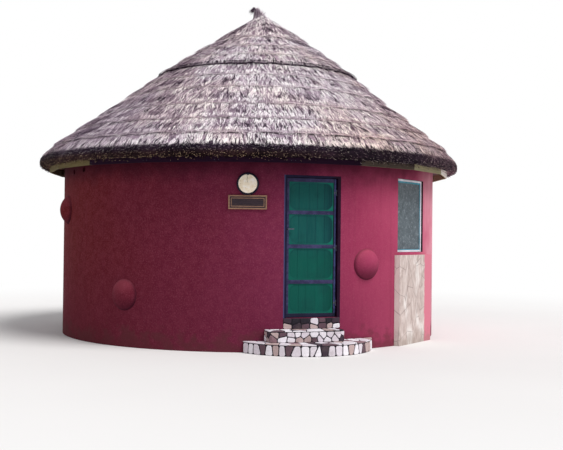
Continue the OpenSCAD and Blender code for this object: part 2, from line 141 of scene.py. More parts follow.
class Soup:
    """Triangles gathered from many small pieces, with one tone and one smoothing flag for each."""

    def __init__(self):
        self.parts = []
        self.count = 0

    def add(self, verts, faces, tones, smooth=False):
        verts = np.asarray(verts, float).reshape(-1, 3)
        faces = np.asarray(faces, int).reshape(-1, 3)
        tones = np.broadcast_to(np.asarray(tones, float), (len(faces),))
        self.parts.append((verts, faces + self.count, tones, np.full(len(faces), smooth)))
        self.count += len(verts)

    def build(self, name, material, slot=None, body="hut", replaces=()):
        """One piece of the gathered triangles, with the material. The slot argument is not used."""
        verts, faces, tones, smooth = [np.concatenate(arrays) for arrays in zip(*self.parts)]
        mesh = bpy.data.meshes.new(name)
        mesh.vertices.add(len(verts))
        mesh.vertices.foreach_set("co", verts.astype(np.float32).ravel())
        mesh.loops.add(faces.size)
        mesh.loops.foreach_set("vertex_index", faces.astype(np.int32).ravel())
        mesh.polygons.add(len(faces))
        mesh.polygons.foreach_set("loop_start", np.arange(0, faces.size, 3, dtype=np.int32))
        mesh.polygons.foreach_set("loop_total", np.full(len(faces), 3, dtype=np.int32))
        mesh.polygons.foreach_set("use_smooth", smooth)
        mesh.update(calc_edges=True)
        tone = mesh.attributes.new("tone", "FLOAT", "FACE")
        tone.data.foreach_set("value", tones.astype(np.float32))
        mesh.materials.append(MATERIALS[material])
        obj = bpy.data.objects.new(name, mesh)
        bpy.context.scene.collection.objects.link(obj)
        slot = slot or material
        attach(obj, body)
        if replaces:
            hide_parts(*replaces)


def band_faces(a, b, c, d):
    """Two triangles for each quad of four arrays of corners."""
    return np.concatenate([np.stack([a, b, c], 1), np.stack([a, c, d], 1)])


def grid_faces(rows, columns, wrap_rows=False, wrap_columns=False):
    """Triangles between neighbouring points of a grid stored row by row."""
    r = np.arange(rows if wrap_rows else rows - 1)
    c = np.arange(columns if wrap_columns else columns - 1)
    r0, c0 = [x.ravel() for x in np.meshgrid(r, c, indexing="ij")]
    r1, c1 = (r0 + 1) % rows, (c0 + 1) % columns
    return band_faces(r0 * columns + c0, r0 * columns + c1, r1 * columns + c1, r1 * columns + c0)


# Node materials, by name, from colours of 0 to 255

MATERIALS = {}


class Paint:
    """A Principled material, the nodes that feed it in object coordinates, and its colour so far."""

    def __init__(self, name, roughness=0.8, specular=0.3, metallic=0.0):
        self.name = name
        self.material = bpy.data.materials.new(name)
        self.material.use_nodes = True
        self.tree = self.material.node_tree
        self.shader = self.tree.nodes["Principled BSDF"]
        self.fill(self.shader, {"Roughness": roughness, "Specular IOR Level": specular,
                                "Metallic": metallic})
        coords = self.tree.nodes.new("ShaderNodeTexCoord").outputs
        self.object_coords, self.normal = coords["Object"], coords["Normal"]
        axes = self.new("SeparateXYZ", {0: self.object_coords}).outputs
        self.across, self.height = axes["X"], axes["Z"]

    def new(self, kind, inputs=None, operation=None):
        node = self.tree.nodes.new("ShaderNode" + kind)
        if operation:
            node.operation = operation
        return self.fill(node, inputs or {})

    def fill(self, node, inputs):
        """Links a node's inputs to sockets, or sets them to numbers and colours."""
        for key, value in inputs.items():
            if isinstance(value, bpy.types.NodeSocket):
                self.tree.links.new(value, node.inputs[key])
            else:
                node.inputs[key].default_value = value
        return node

    def coords(self, scale):
        return self.new("Mapping", {"Vector": self.object_coords, "Scale": scale}).outputs["Vector"]

    def noise(self, scale, detail=4.0, rough=0.55, stretch=(1, 1, 1), distortion=0.0):
        node = self.new("TexNoise", {"Vector": self.coords(stretch), "Scale": scale, "Detail": detail,
                                     "Roughness": rough, "Distortion": distortion})
        return node.outputs["Fac"]

    def blotch(self, noise, low, high, to_low=0.0, to_high=1.0):
        """Noise, given as its scale, detail, roughness and stretch, brought to a range."""
        return self.span(self.noise(*noise), low, high, to_low, to_high)

    def ragged(self, socket, scale, detail, reach):
        """A value that wavers by as much as the reach, so that what ends there ends raggedly."""
        return self.math("ADD", socket, self.blotch((scale, detail), 0.3, 0.7, -reach, reach))

    def tone(self):
        node = self.new("Attribute")
        node.attribute_name = "tone"
        return node.outputs["Fac"]

    def length(self, socket):
        return self.new("VectorMath", {0: socket}, "LENGTH").outputs["Value"]

    def from_axis(self):
        return self.length(self.coords((1, 1, 0)))

    def dot(self, socket, direction):
        return self.new("VectorMath", {0: socket, 1: tuple(direction)}, "DOT_PRODUCT").outputs["Value"]

    def facing(self, azimuth):
        """From 1 on the wall's side at this azimuth down to 0 on the side away from it."""
        return self.math("ADD", self.dot(self.object_coords, wall_axes(azimuth)[1] * 0.5 / WALL_R), 0.5)

    def math(self, operation, a, b):
        return self.new("Math", {0: a, 1: b}, operation).outputs["Value"]

    def span(self, value, low, high, to_low=0.0, to_high=1.0):
        node = self.new("MapRange", {"Value": value, "From Min": low, "From Max": high, "To Min": to_low,
                                     "To Max": to_high})
        node.interpolation_type = "SMOOTHSTEP"
        return node.outputs["Result"]

    def ramp(self, fac, stops, interpolation="LINEAR"):
        node = self.new("ValToRGB", {"Fac": fac})
        node.color_ramp.interpolation = interpolation
        elements = node.color_ramp.elements
        while len(elements) < len(stops):
            elements.new(0.5)
        for element, (position, colour) in zip(elements, stops):
            element.position = position
            element.color = srgb(colour)
        return node.outputs["Color"]

    def grained(self, fac, dark, light, low=0.3):
        return self.ramp(fac, [(low, dark), (1 - low, light)])

    def mix(self, fac, a, b, blend="MIX"):
        node = self.new("Mix")
        node.data_type = "RGBA"
        node.blend_type = blend
        a, b = [srgb(colour) if isinstance(colour, tuple) else colour for colour in (a, b)]
        return self.fill(node, {0: fac, 6: a, 7: b}).outputs[2]

    def over(self, fac, colour, blend="MIX"):
        """Lays a colour over the paint, as thick as the factor says."""
        self.paint = self.mix(fac, self.paint, colour, blend)

    def bump(self, height, distance, strength, under=None):
        inputs = {"Height": height, "Distance": distance, "Strength": strength}
        if under is not None:
            inputs["Normal"] = under
        bumped = self.new("Bump", inputs).outputs["Normal"]
        self.fill(self.shader, {"Normal": bumped})
        return bumped

    def finish(self):
        self.fill(self.shader, {"Base Color": self.paint})
        MATERIALS[self.name] = self.material


def mix_plaster(name, boss=False):
    """Crimson limewash with painted light and shade, paler towards the light and darker away from it.
    It has rain streaks, a splashed foot, and painted shade darkening its top under the eave.

    A boss is darker round its rim and on its underside as painted shade, and paler on top as a painted
    highlight.
    """
    p = Paint(name, 0.9, 0.08)
    # Painted light and shade: paler towards the side the light falls on, darker away from it
    painted_sunlight = p.ragged(p.facing(80), 0.8, 3, 0.03)
    p.paint = p.ramp(painted_sunlight, [(0.03, (92, 24, 26)), (0.33, (98, 28, 50)), (0.54, (112, 38, 68)),
                             (0.71, (148, 52, 84)), (0.90, (182, 76, 108)), (0.975, (226, 158, 172))])
    p.over(p.blotch((9, 6, 0.65), 0.35, 0.7, 0.0, 0.08), (186, 92, 112))
    p.over(p.blotch((30, 4, 0.6, (1, 1, 0.12)), 0.35, 0.7, 0.0, 0.08), (96, 22, 48))
    p.over(p.blotch((2.2, 5, 0.6, (4, 4, 0.25)), 0.52, 0.75, 0.0, 0.14), (92, 20, 44))
    p.over(p.blotch((55, 4, 0.7), 0.35, 0.7, -0.09, 0.12), (206, 120, 140))
    p.over(p.span(p.height, 0.3, 1.7, 0.3, 0.0), (96, 32, 56))
    p.over(p.span(p.ragged(p.height, 5, 4, 0.18), 0.03, 0.34, 0.6, 0.0), (86, 44, 48))
    # Painted shade under the eave: the wall's top is darkened, less so on the lit side
    eave_shade = p.span(p.ragged(p.height, 3, 4, 0.06), 2.42, 2.82, 0.0, 0.75)
    p.over(p.math("MULTIPLY", eave_shade, p.span(painted_sunlight, 0.86, 0.97, 1.0, 0.25)), (44, 8, 24))
    if boss:
        proud = p.math("SUBTRACT", p.from_axis(), WALL_R)
        light_and_shade_by_facing = p.dot(p.normal, (0.25, 0.0, -1.0))
        # Painted shade round the rim and on the underside, and a painted highlight on top
        p.over(p.span(proud, 0.004, 0.045, 0.60, 0.0), (44, 8, 24))
        p.over(p.span(light_and_shade_by_facing, -0.2, 0.8, 0.0, 0.55), (52, 12, 30))
        p.over(p.span(light_and_shade_by_facing, -0.9, -0.1, 0.22, 0.0), (196, 96, 112))
    p.bump(p.noise(70, 5, 0.7), 0.0025, 0.8, under=p.bump(p.noise(3.5, 3), 0.012, 0.5))
    p.finish()


def mix_thatch():
    """Weathered grass, tinted warmer as painted sunlight, and brown on the eave's shaded cut face.

    The tone of each straw comes with its mesh.
    """
    p = Paint("thatch", 0.9, 0.08)
    tone = p.ragged(p.ragged(p.tone(), 60, 2, 0.05), 1.6, 3, 0.05)
    p.paint = p.ramp(tone, [(0.0, (22, 15, 26)), (0.2, (64, 49, 66)), (0.42, (130, 109, 126)),
                            (0.66, (208, 190, 202)), (0.85, (246, 236, 240)), (1.0, (255, 252, 250))])
    # Painted sunlight: the straw is tinted warmer towards the light, over random warmer blotches
    painted_sun_warmth = p.span(p.facing(60), 0.7, 0.95, 0.0, 0.6)
    warm_blotches_and_sun = p.math("ADD", p.blotch((0.9, 2), 0.4, 0.6, -0.1, 0.3), painted_sun_warmth)
    p.over(warm_blotches_and_sun, (255, 240, 226), "MULTIPLY")
    earthy = p.math("MULTIPLY", p.span(p.height, 2.88, 2.98, 1.0, 0.0), p.span(p.facing(-75), 0.5, 0.8))
    p.over(earthy, (255, 226, 184), "MULTIPLY")
    p.finish()


def mix_wood(name, dark, light, stretch, roughness=0.8):
    """Wood with its grain along the axis that stretch makes long."""
    p = Paint(name, roughness, 0.25)
    lines = p.noise(6, 6, 0.7, stretch, 0.4)
    p.paint = p.grained(lines, dark, light)
    p.over(p.blotch((2.5, 3), 0.35, 0.65, 0.0, 0.45), dark)
    p.bump(lines, 0.002, 0.8)
    p.finish()


def mix_gloss(name, base, worn, roughness, wear):
    """Old gloss paint, duller and lighter where it has worn."""
    p = Paint(name, roughness, 0.2)
    rubbed = p.blotch((14, 6, 0.7), 0.5, 0.72)
    p.paint = p.mix(p.blotch((2.0, 3), 0.35, 0.65), tuple(int(value * 0.8) for value in base), base)
    p.over(p.math("MULTIPLY", rubbed, wear), worn)
    p.fill(p.shader, {"Roughness": p.span(rubbed, 0, 1, roughness, roughness + 0.3)})
    p.bump(p.noise(45, 4, 0.6), 0.0012, 0.6)
    p.finish()


def mix_door_green():
    """Green boards: the tone says how deep the paint looks, from the dull field to the bright corners."""
    p = Paint("door_green", 0.5, 0.07)
    grain = p.noise(7, 6, 0.7, (9, 9, 0.5))
    p.paint = p.ramp(p.tone(), [(0.0, (2, 26, 30)), (0.3, (12, 60, 64)), (0.55, (20, 84, 80)),
                                (1.0, (14, 116, 94))])
    p.over(p.span(grain, 0.35, 0.7, 0.0, 0.22), (44, 96, 90))
    p.over(p.span(p.height, 1.30, 1.70, 0.45, 0.0), (2, 84, 64))
    p.over(p.blotch((3.0, 5, 0.6), 0.5, 0.75, 0.0, 0.4), (16, 58, 58))
    p.bump(grain, 0.0015, 0.7)
    p.finish()


def mix_jamb():
    """Navy gloss frame, dark red-purple towards the hinge side as painted shade, pale along the other's
    outer edge.
    """
    p = Paint("jamb_paint", 0.5, 0.1)
    rubbed = p.noise(14, 6, 0.7, (1, 1, 0.3))
    p.paint = p.mix(p.span(rubbed, 0.4, 0.7, 0.0, 0.3), (20, 18, 44), (50, 48, 78))
    hinge_side_shade = p.mix(p.span(rubbed, 0.45, 0.7), (30, 8, 30), (52, 18, 46))
    # Painted shade: the jamb on the hinge side is dark red-purple
    p.over(p.span(p.across, 0.30, 0.38), hinge_side_shade)
    p.over(p.span(p.across, -0.431, -0.437), (60, 64, 100))
    p.bump(p.noise(45, 4, 0.6, (1, 1, 0.3)), 0.0012, 0.6)
    p.finish()


def mix_leaf():
    """Worn grey-purple paint on the rails and stiles, a bluer stile on the hinge side, and a painted
    shadow line beside it.
    """
    p = Paint("leaf_paint", 0.45, 0.15)
    rubbed = p.noise(16, 6, 0.7, (0.4, 1, 0.6))
    p.paint = p.mix(p.span(rubbed, 0.4, 0.68, 0.0, 0.7), (42, 38, 70), (72, 70, 110))
    stile = p.mix(p.span(rubbed, 0.4, 0.7), (50, 54, 92), (74, 80, 132))
    p.over(p.span(p.across, 0.360, 0.362), stile)
    # Painted shadow: a dark line between the panels and the hinge-side stile
    shadow_line_end = p.span(p.across, 0.360, 0.362, 1.0, 0.0)
    painted_shadow_line = p.math("MULTIPLY", p.span(p.across, 0.3495, 0.3505), shadow_line_end)
    p.over(painted_shadow_line, (10, 12, 22))
    p.over(p.span(p.height, 0.560, 0.564, 0.8, 0.0), (18, 20, 38))
    p.bump(p.noise(45, 4, 0.6), 0.0012, 0.6)
    p.finish()


def mix_fascia():
    """Olive boards with light and shade painted board by board: pale where lit, shaded olive on the left,
    painted shadow across the front, a half-shaded dull board, and a white board end painted as lit by the
    sun on the right.
    """
    p = Paint("fascia_timber", 0.8, 0.08)
    grain = p.noise(9, 6, 0.7, (0.6, 0.6, 14), 0.4)
    p.paint = p.grained(grain, (130, 124, 94), (176, 168, 134))
    shaded_olive = p.grained(grain, (92, 82, 54), (128, 116, 82))
    dark = p.grained(grain, (20, 7, 25), (44, 20, 42))
    dull = p.grained(grain, (60, 50, 48), (94, 84, 72))
    white = (240, 234, 226)
    # Light and shade painted board by board: shaded olive, painted shadow, half-shaded dull, and white
    # painted as lit by the sun
    boards = ((-96.5, 36.0, shaded_olive), (-24.5, 36.0, dark), (20.5, 9.0, dull), (56.5, 9.0, white))
    for azimuth, half_angle, colour in boards:
        reach = 0.5 + 0.5 * cos(radians(half_angle)) * FASCIA_R / WALL_R
        p.over(p.span(p.facing(azimuth), reach - 0.0013, reach - 0.0007), colour)
    p.bump(grain, 0.002, 0.8)
    p.finish()


def mix_step_stone():
    """Broken paving stones: the tone picks each stone's kind."""
    p = Paint("step_stone", 0.7, 0.3)
    p.paint = p.ramp(p.tone(), [(0.0, (26, 20, 32)), (0.1, (56, 42, 54)), (0.22, (96, 72, 82)),
                                (0.36, (142, 112, 120)), (0.5, (188, 166, 164)), (0.62, (224, 216, 224)),
                                (0.85, (242, 238, 244))], "CONSTANT")
    p.over(p.blotch((38, 6, 0.7), 0.3, 0.7, 0.0, 0.25), (176, 160, 158), "MULTIPLY")
    p.over(p.blotch((5, 4), 0.55, 0.75, 0.0, 0.3), (110, 96, 92))
    p.bump(p.noise(30, 6, 0.65), 0.004, 0.6)
    p.finish()


def mix_slab():
    """Cream stone with fine cracks and rain marks, plaster washed over the far margin in front, and the
    faces that look left along the wall whitened as painted light.
    """
    p = Paint("slab_stone", 0.8, 0.15)
    veins = p.noise(3.2, 7, 0.65, (3.0, 3.0, 1.1), 1.2)
    p.paint = p.ramp(veins, [(0.3, (158, 140, 134)), (0.45, (190, 174, 168)), (0.58, (206, 192, 186)),
                             (0.7, (222, 212, 208))])
    p.over(p.blotch((2.2, 4, 0.5, (2.0, 2.0, 0.8)), 0.56, 0.68, 0.0, 0.6), (240, 236, 232))
    sideways = wall_axes(WINDOW_AZIMUTH)[0]
    # Painted light: the side faces that look left along the wall are whitened
    p.over(p.span(p.dot(p.normal, -sideways), 0.4, 0.6, 0.0, 0.8), (250, 240, 232))
    cells = p.new("TexVoronoi", {"Scale": 2.6, "Vector": p.coords((1.5, 1.5, 0.9))})
    cells.feature = "DISTANCE_TO_EDGE"
    p.over(p.span(cells.outputs["Distance"], 0.004, 0.018, 0.45, 0.0), (104, 88, 86))
    edge = p.ragged(p.dot(p.object_coords, sideways), 6, 3, 0.012)
    in_front = p.span(p.facing(WINDOW_AZIMUTH), 0.45, 0.55)
    margin = p.span(edge, SLAB_BARE - 0.008, SLAB_BARE + 0.008)
    p.over(p.math("MULTIPLY", margin, in_front), (206, 120, 138))
    p.over(p.span(p.ragged(p.height, 6, 4, 0.1), 0.02, 0.25, 0.4, 0.0), (132, 116, 104))
    p.bump(veins, 0.003, 0.4)
    p.finish()


def mix_lens():
    """Cream moulded glass, with dust and a few dead spots."""
    p = Paint("lamp_glass", 0.35, 0.3)
    p.paint = p.ramp(p.noise(18, 5, 0.6), [(0.3, (226, 206, 176)), (0.5, (242, 228, 204)),
                                           (0.7, (250, 244, 236))])
    p.over(p.blotch((55, 2, 0.4), 0.68, 0.72, 0.0, 0.5), (132, 106, 76))
    p.bump(p.noise(40, 3), 0.0012, 0.5)
    p.finish()


def mix_fly_mesh():
    """Grey fly mesh over dark glass, with dust caught in it."""
    p = Paint("window_mesh", 0.6, 0.35)
    p.paint = p.ramp(p.noise(9, 6, 0.7), [(0.3, (58, 68, 74)), (0.55, (82, 92, 98)),
                                          (0.75, (110, 120, 126))])
    p.over(p.blotch((26, 4, 0.7), 0.52, 0.68, 0.0, 0.5), (150, 160, 168))
    weave = p.math("SINE", p.math("MULTIPLY", p.height, 900.0), 0.0)
    p.bump(p.math("MULTIPLY", weave, 0.5), 0.0006, 0.5)
    p.finish()


def mix_concrete():
    p = Paint("concrete", 0.85, 0.25)
    p.paint = p.grained(p.noise(6, 6, 0.6), (128, 118, 112), (158, 148, 140), 0.35)
    p.bump(p.noise(48, 5, 0.65), 0.004, 0.7)
    p.finish()


def mix_steel():
    p = Paint("hinge_steel", 0.5, 0.3, 0.5)
    p.paint = p.mix(p.blotch((60, 5, 0.6), 0.5, 0.66), (84, 88, 104), (62, 50, 56))
    p.bump(p.noise(140, 3), 0.0006, 0.5)
    p.finish()


def mix_paints():
    mix_plaster("red_plaster")
    mix_plaster("boss_plaster", boss=True)
    for mix_one in (mix_thatch, mix_door_green, mix_jamb, mix_leaf, mix_fascia, mix_step_stone, mix_slab,
                    mix_lens, mix_fly_mesh, mix_concrete, mix_steel):
        mix_one()
    mix_wood("plate_timber", (70, 58, 44), (112, 96, 74), (1, 1, 8))
    mix_wood("poles", (58, 44, 32), (104, 82, 60), (3, 3, 3))
    mix_wood("sign_wood", (34, 24, 34), (58, 42, 48), (1, 1, 10), 0.6)
    mix_wood("sign_border", (112, 82, 68), (176, 136, 108), (1, 1, 8), 0.6)
    mix_gloss("window_metal", (246, 242, 250), (196, 200, 212), 0.4, 0.5)
    mix_gloss("window_bead", (58, 150, 172), (140, 176, 186), 0.45, 0.5)
    # The dark reveal paint is painted shade for the window's reveals
    mix_gloss("dark_reveal", (26, 10, 24), (58, 34, 50), 0.6, 0.3)
    mix_gloss("lamp_rim", (14, 6, 34), (34, 26, 56), 0.5, 0.3)


OWN_MATERIAL = {"door_frame": "jamb_paint", "door_leaf": "leaf_paint", "window_panes": "window_mesh",
                "sign_board": "sign_border", "wall_bosses": "boss_plaster"}


def paint_nodes():
    """Every CAD node takes the material of its own slot, or one that is made for it."""
    for part in frame["record"]["subparts"]:
        mesh = nodes[part["node"]].data
        mesh.materials.clear()
        mesh.materials.append(MATERIALS[OWN_MATERIAL.get(part["node"], part["material_slot"])])


# Roof, measured on the frame

EAVE_ROUND = THATCH_V * 0.35
EAVE_DROP = THATCH_V * 0.45
EAVE_UNDERCUT = THATCH_V * 0.37
RIM_ANGLE = 50        # where the light top of the eave gives way to its dark cut face
EAVE_TOP_ANGLE = 60   # where the eave's round edge meets the slope
FUZZ = 0.022          # how far the straw stands out of the solid core below it
RING_PARTS = 180
WOBBLE = 0.008        # how much the core's edge wavers
EAVE_IN = 0.006       # from the node's edge to the outermost straw
NEXT_COVER = 0.020    # how far a core's top reaches out from under the next course
DARK_TONE = 0.06
CORE_TONE = 0.5


def under_z(r):
    return PEAK_Z - r * ROOF_TAN - THATCH_V


def under_r(z):
    return (PEAK_Z - THATCH_V - z) / ROOF_TAN


def plan_centre(low, high):
    return np.array([(low.x + high.x) / 2, (low.y + high.y) / 2, 0.0])


class Course:
    """One course of thatch, from its node's box: its leaning centre, its edge and its seat.

    Its line is its top in radius and height, from the lip inwards, as far as the next course's head.
    """

    def __init__(self, node):
        low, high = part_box(node)
        self.node = node
        self.centre = plan_centre(low, high)
        self.edge_r = (high.x - low.x) / 2
        self.seat_z = high.z

    def slope(self):
        return Slope(self.line, self.centre)


def roof_courses():
    """The courses from the eave up, and the cap as the last. Each lip's height follows from the boxes."""
    made = [Course(f"thatch_course_{i + 1}") for i in range(COURSES)] + [Course("thatch_cap")]
    made[0].edge_z = PEAK_Z - made[0].edge_r * ROOF_TAN
    for lower, upper in zip(made, made[1:]):
        head_r = upper.edge_r - COURSE_LAP
        slope = (lower.seat_z - lower.edge_z) / (lower.edge_r - head_r)
        cover_z = lower.edge_z + slope * (lower.edge_r - upper.edge_r)
        upper.edge_z = cover_z + COURSE_STEP
        lower.at_next = (lower.edge_r - upper.edge_r) * hypot(1, slope)
        lower.line = np.array([(lower.edge_r, lower.edge_z), (upper.edge_r, cover_z),
                               (head_r, lower.seat_z)])
        upper.seat = [(under_r(lower.seat_z), lower.seat_z), (head_r + COURSE_CLEAR, lower.seat_z),
                      (upper.edge_r, cover_z + COURSE_CLEAR * slope)]
    cap = made[-1]
    slope = (cap.seat_z - cap.edge_z) / (cap.edge_r - CROWN_R / 2)
    crown = [(CROWN_R * share, cap.seat_z - slope * CROWN_R * share * share / 2)
             for share in (1, 0.75, 0.5, 0.25)]
    cap.line = np.array([(cap.edge_r, cap.edge_z)] + crown)
    cap.at_next = cap.slope().at[-1]
    return made


def eave_arc(course, inset, low, high, count):
    """Points on the eave's round edge between two angles in degrees."""
    radius = EAVE_ROUND - inset
    return [(course.edge_r - EAVE_ROUND + radius * cos(a), course.edge_z - EAVE_DROP + radius * sin(a))
            for a in np.radians(np.linspace(low, high, count))]


def eave_line(course, inset):
    """Outline of the eave's cut face, from its foot below to the start of the top."""
    foot_r = course.edge_r - EAVE_UNDERCUT
    return [(foot_r - inset, under_z(foot_r))] + eave_arc(course, inset, -55, EAVE_TOP_ANGLE, 11)


def turned(soup, outline, centre, tones, wobble):
    """A closed outline turned round the roof's axis. The wobble is set for each point of the outline."""
    outline = np.asarray(outline, float)
    angle = np.linspace(0, 2 * pi, RING_PARTS, endpoint=False)
    r, a = np.meshgrid(outline[:, 0], angle)
    shift = swell(a, r) * np.asarray(wobble, float)
    r = r + shift * 0.4
    z = outline[:, 1] + shift * 0.8
    verts = np.stack([r * np.sin(a), -r * np.cos(a), z], -1) + centre
    faces = grid_faces(RING_PARTS, len(outline), wrap_rows=True, wrap_columns=True)
    part_tone = np.random.default_rng(RING_PARTS).uniform(-0.02, 0.02, RING_PARTS)
    part, point = np.divmod(faces[:, 0], len(outline))
    soup.add(verts, faces, np.asarray(tones)[point] + part_tone[part], smooth=True)


class Slope:
    """Points and directions on a turned surface, from a line in radius and height."""

    def __init__(self, line, centre):
        self.line, self.centre = np.asarray(line, float), centre
        step, length, self.at = paced(self.line)
        ahead = step / length[:, None]
        self.ahead = np.concatenate([ahead, ahead[-1:]])

    def radius(self, s):
        return np.interp(s, self.at, self.line[:, 0])

    def frame(self, azimuth, s):
        """Point, downward direction, sideways direction and normal at a distance s above the lip."""
        r, z, ar, az = [np.interp(s, self.at, column) for column in (*self.line.T, *self.ahead.T)]
        below = np.minimum(s, 0)
        out, side = outwards(azimuth), outwards(azimuth + pi / 2)
        point = out * (r + below * ar)[:, None] + UP * (z + below * az)[:, None] + self.centre
        down = -(out * ar[:, None] + UP * az[:, None])
        normal = np.cross(down, side)
        normal *= np.sign(normal[:, 2:3] + 1e-9)
        return point, down, side, normal


# Straw

STRAW_RISE = 0.3      # height of a straw's ridge, in half widths
LEAN = 0.11           # how far the straws of a clump lean together, in radians
TUFTS_PER_M2 = 520
RIM_DROP = 0.105      # how far the rim's straw hangs down
LIP_DROP = 0.064      # how far straw hangs over the faintest line

# Tones of straw, from 0 for the darkest up to 1, with their spread and the share of dark tufts
SURFACE_TONE = 0.88
RIM_TONE = 0.92
LIP_TONE = 0.86
FACE_TONE = 0.07
PALE_END_TONE = 0.84
# NOTCH_TONE is painted shade in the notches of the rim and the lines
NOTCH_TONE = 0.16
LEAST_TONE = 0.02
TONE_SPREAD = 0.17
# GAP_DARKER and GAP_SHARE make dark tufts that stand in for shaded gaps, as painted shade
GAP_DARKER = 0.22
GAP_SHARE = 0.16

# Straws or tufts for each metre of an edge
RIM_TUFTS = 180
LIP_ENDS = 60
LIP_TUFTS = 240
EAVE_ENDS = 620

clump_tilt = Ripple(11, 7, (14, 60), (4, 14))
clump_tone = Ripple(12, 8, (20, 70), (6, 20))
band_wave = Ripple(14, 6, (3, 16), (0, 1))
lip_wave = Ripple(15, 7, (9, 60), (0, 1))
swell = Ripple(16, 7, (9, 48), (3, 10))

# How open the line below each course shows, and how dark its painted shade is, from the eave's course up
# to the cap
LINE_DEPTH = [1.0, 0.35, 0.4, 0.3, 0.25, 0.2, 1.5, 0.15, 0.2, 0.25]
# How deep the painted shade is on the straw above each of those lines
BAND_DEPTH = [0.15, 0.8, 0.6, 0.9, 0.8, 0.6, 0.4, 0.7, 1.0, 0.9]


def straw_mesh(soup, foot, tip, width, up, tones, end_tones, thick_end="foot"):
    """Long thin closed spikes. The thick end is a small triangle with a tone of its own."""
    along = unit(tip - foot)
    side = unit(np.cross(along, up))
    rise = np.cross(side, along)
    base, point = (foot, tip) if thick_end == "foot" else (tip, foot)
    half = width[:, None] / 2
    verts = np.stack([base + side * half, base - side * half, base + rise * half * STRAW_RISE, point], 1)
    corners = np.array([(0, 1, 3), (1, 2, 3), (2, 0, 3), (0, 2, 1)])
    if thick_end == "foot":
        corners = corners[:, (0, 2, 1)]
    first = np.arange(len(foot))[:, None] * 4
    faces = np.concatenate([first + corner for corner in corners])
    soup.add(verts, faces, np.concatenate([tones, tones, tones, end_tones]))


def scatter(rng, slope, count, low, high):
    """Azimuths and distances spread evenly over the surface between two distances above the lip."""
    azimuth = rng.uniform(0, 2 * pi, count * 2)
    s = rng.uniform(low, high, count * 2)
    keep = rng.uniform(0, slope.line[:, 0].max(), count * 2) < slope.radius(s)
    return azimuth[keep][:count], s[keep][:count]


def round_edge(rng, course, per_metre):
    """Azimuths spread evenly along a course's edge, and their number."""
    count = int(per_metre * 2 * pi * course.edge_r)
    return rng.uniform(0, 2 * pi, count), count


def hold_within(points, most_r):
    reach = np.hypot(points[:, 0], points[:, 1])
    points[:, :2] *= (np.minimum(reach, most_r) / reach)[:, None]


def lay_tufts(soup, slope, azimuth, s, tilt, lift, height, tone, rng, straws=3, reach=(0.09, 0.22),
              width=(0.006, 0.012), fray=0.02, most_r=None, thick_end="foot"):
    """Tufts of straw whose tips lie at the given places. A tuft has one lean, one lift and one tone."""
    azimuth, s, tilt, lift, height, tone = [np.repeat(np.broadcast_to(value, azimuth.shape), straws)
                                            for value in (azimuth, s, tilt, lift, height, tone)]
    count = len(azimuth)
    point, down, side, normal = slope.frame(azimuth, s + rng.normal(0, fray, count))
    tilt = tilt + rng.normal(0, 0.07, count)
    lift = lift + rng.normal(0, 0.02, count)
    direction = swing(swing(down, side, tilt), normal, lift)
    tip = point + side * rng.normal(0, 0.006, count)[:, None]
    tip += normal * (height + rng.uniform(0, 0.005, count))[:, None]
    if most_r:
        hold_within(tip, most_r)
    foot = tip - direction * rng.uniform(*reach, count)[:, None]
    tone = np.clip(tone + rng.normal(0, 0.05, count), LEAST_TONE, 1)
    straw_mesh(soup, foot, tip, rng.uniform(*width, count), normal, tone, tone * 0.85, thick_end)


def lean(rng, azimuth, radius, spread):
    return LEAN * clump_tilt(azimuth, radius) + rng.normal(0, spread, len(azimuth))


def azimuth_turn(azimuth):
    """An azimuth brought between -pi and pi."""
    return (azimuth + pi) % (2 * pi) - pi


def shaded_side(azimuth):
    """Painted shade: how much darker the straw is made towards both sides of the front."""
    turn = azimuth_turn(azimuth)
    return 0.36 * smooth_step(0.4, 1.4, -turn) + 0.32 * smooth_step(0.3, 0.9, turn)


def surface_tufts(soup, course, index, rng, most_r):
    """Weathered straw over the top of a course: lightened under the line above as painted light, darker
    towards its own lip as painted shade, with dark tufts as painted shade in the gaps.
    """
    slope = course.slope()
    exposed = course.at_next
    count = int(TUFTS_PER_M2 * 2 * pi * slope.radius(exposed / 2) * (exposed + 0.08))
    highest = exposed + 0.05 if index < COURSES else exposed - 0.12
    azimuth, s = scatter(rng, slope, count, -0.03, highest)
    count = len(azimuth)
    s = s + 0.010 * lip_wave(azimuth, index)
    r = slope.radius(s)
    share = s / exposed
    tilt = lean(rng, azimuth, r + index, 0.15)
    patch = 0.55 + 0.45 * band_wave(azimuth, 2 * index) + 0.4 * clump_tone(azimuth, r)
    # Painted shade in a darker band towards the course's own lip, and painted light under the line above
    dark_band = smooth_step(-0.14, 0.06, share) * (1 - smooth_step(0.22, 0.60, share))
    dark_band *= BAND_DEPTH[index] * np.clip(patch, 0, 1.2)
    tone = SURFACE_TONE + 0.10 * smooth_step(0.45, 0.9, share) - 0.28 * dark_band - shaded_side(azimuth)
    tone += 0.04 * clump_tone(azimuth, r) + rng.normal(0, TONE_SPREAD, count)
    # Painted shade: some tufts are made dark and set low, to stand in for the shaded gaps between tufts
    gap = rng.uniform(0, 1, count) < GAP_SHARE + 0.34 * dark_band
    tone = np.where(gap, tone * GAP_DARKER, tone)
    height = 0.005 * swell(azimuth, r) + np.where(gap, 0.003, rng.uniform(-0.002, 0.006, count))
    lift = rng.uniform(-0.02, 0.04, count)
    lay_tufts(soup, slope, azimuth, s, tilt, lift, height, tone, rng, most_r=most_r)


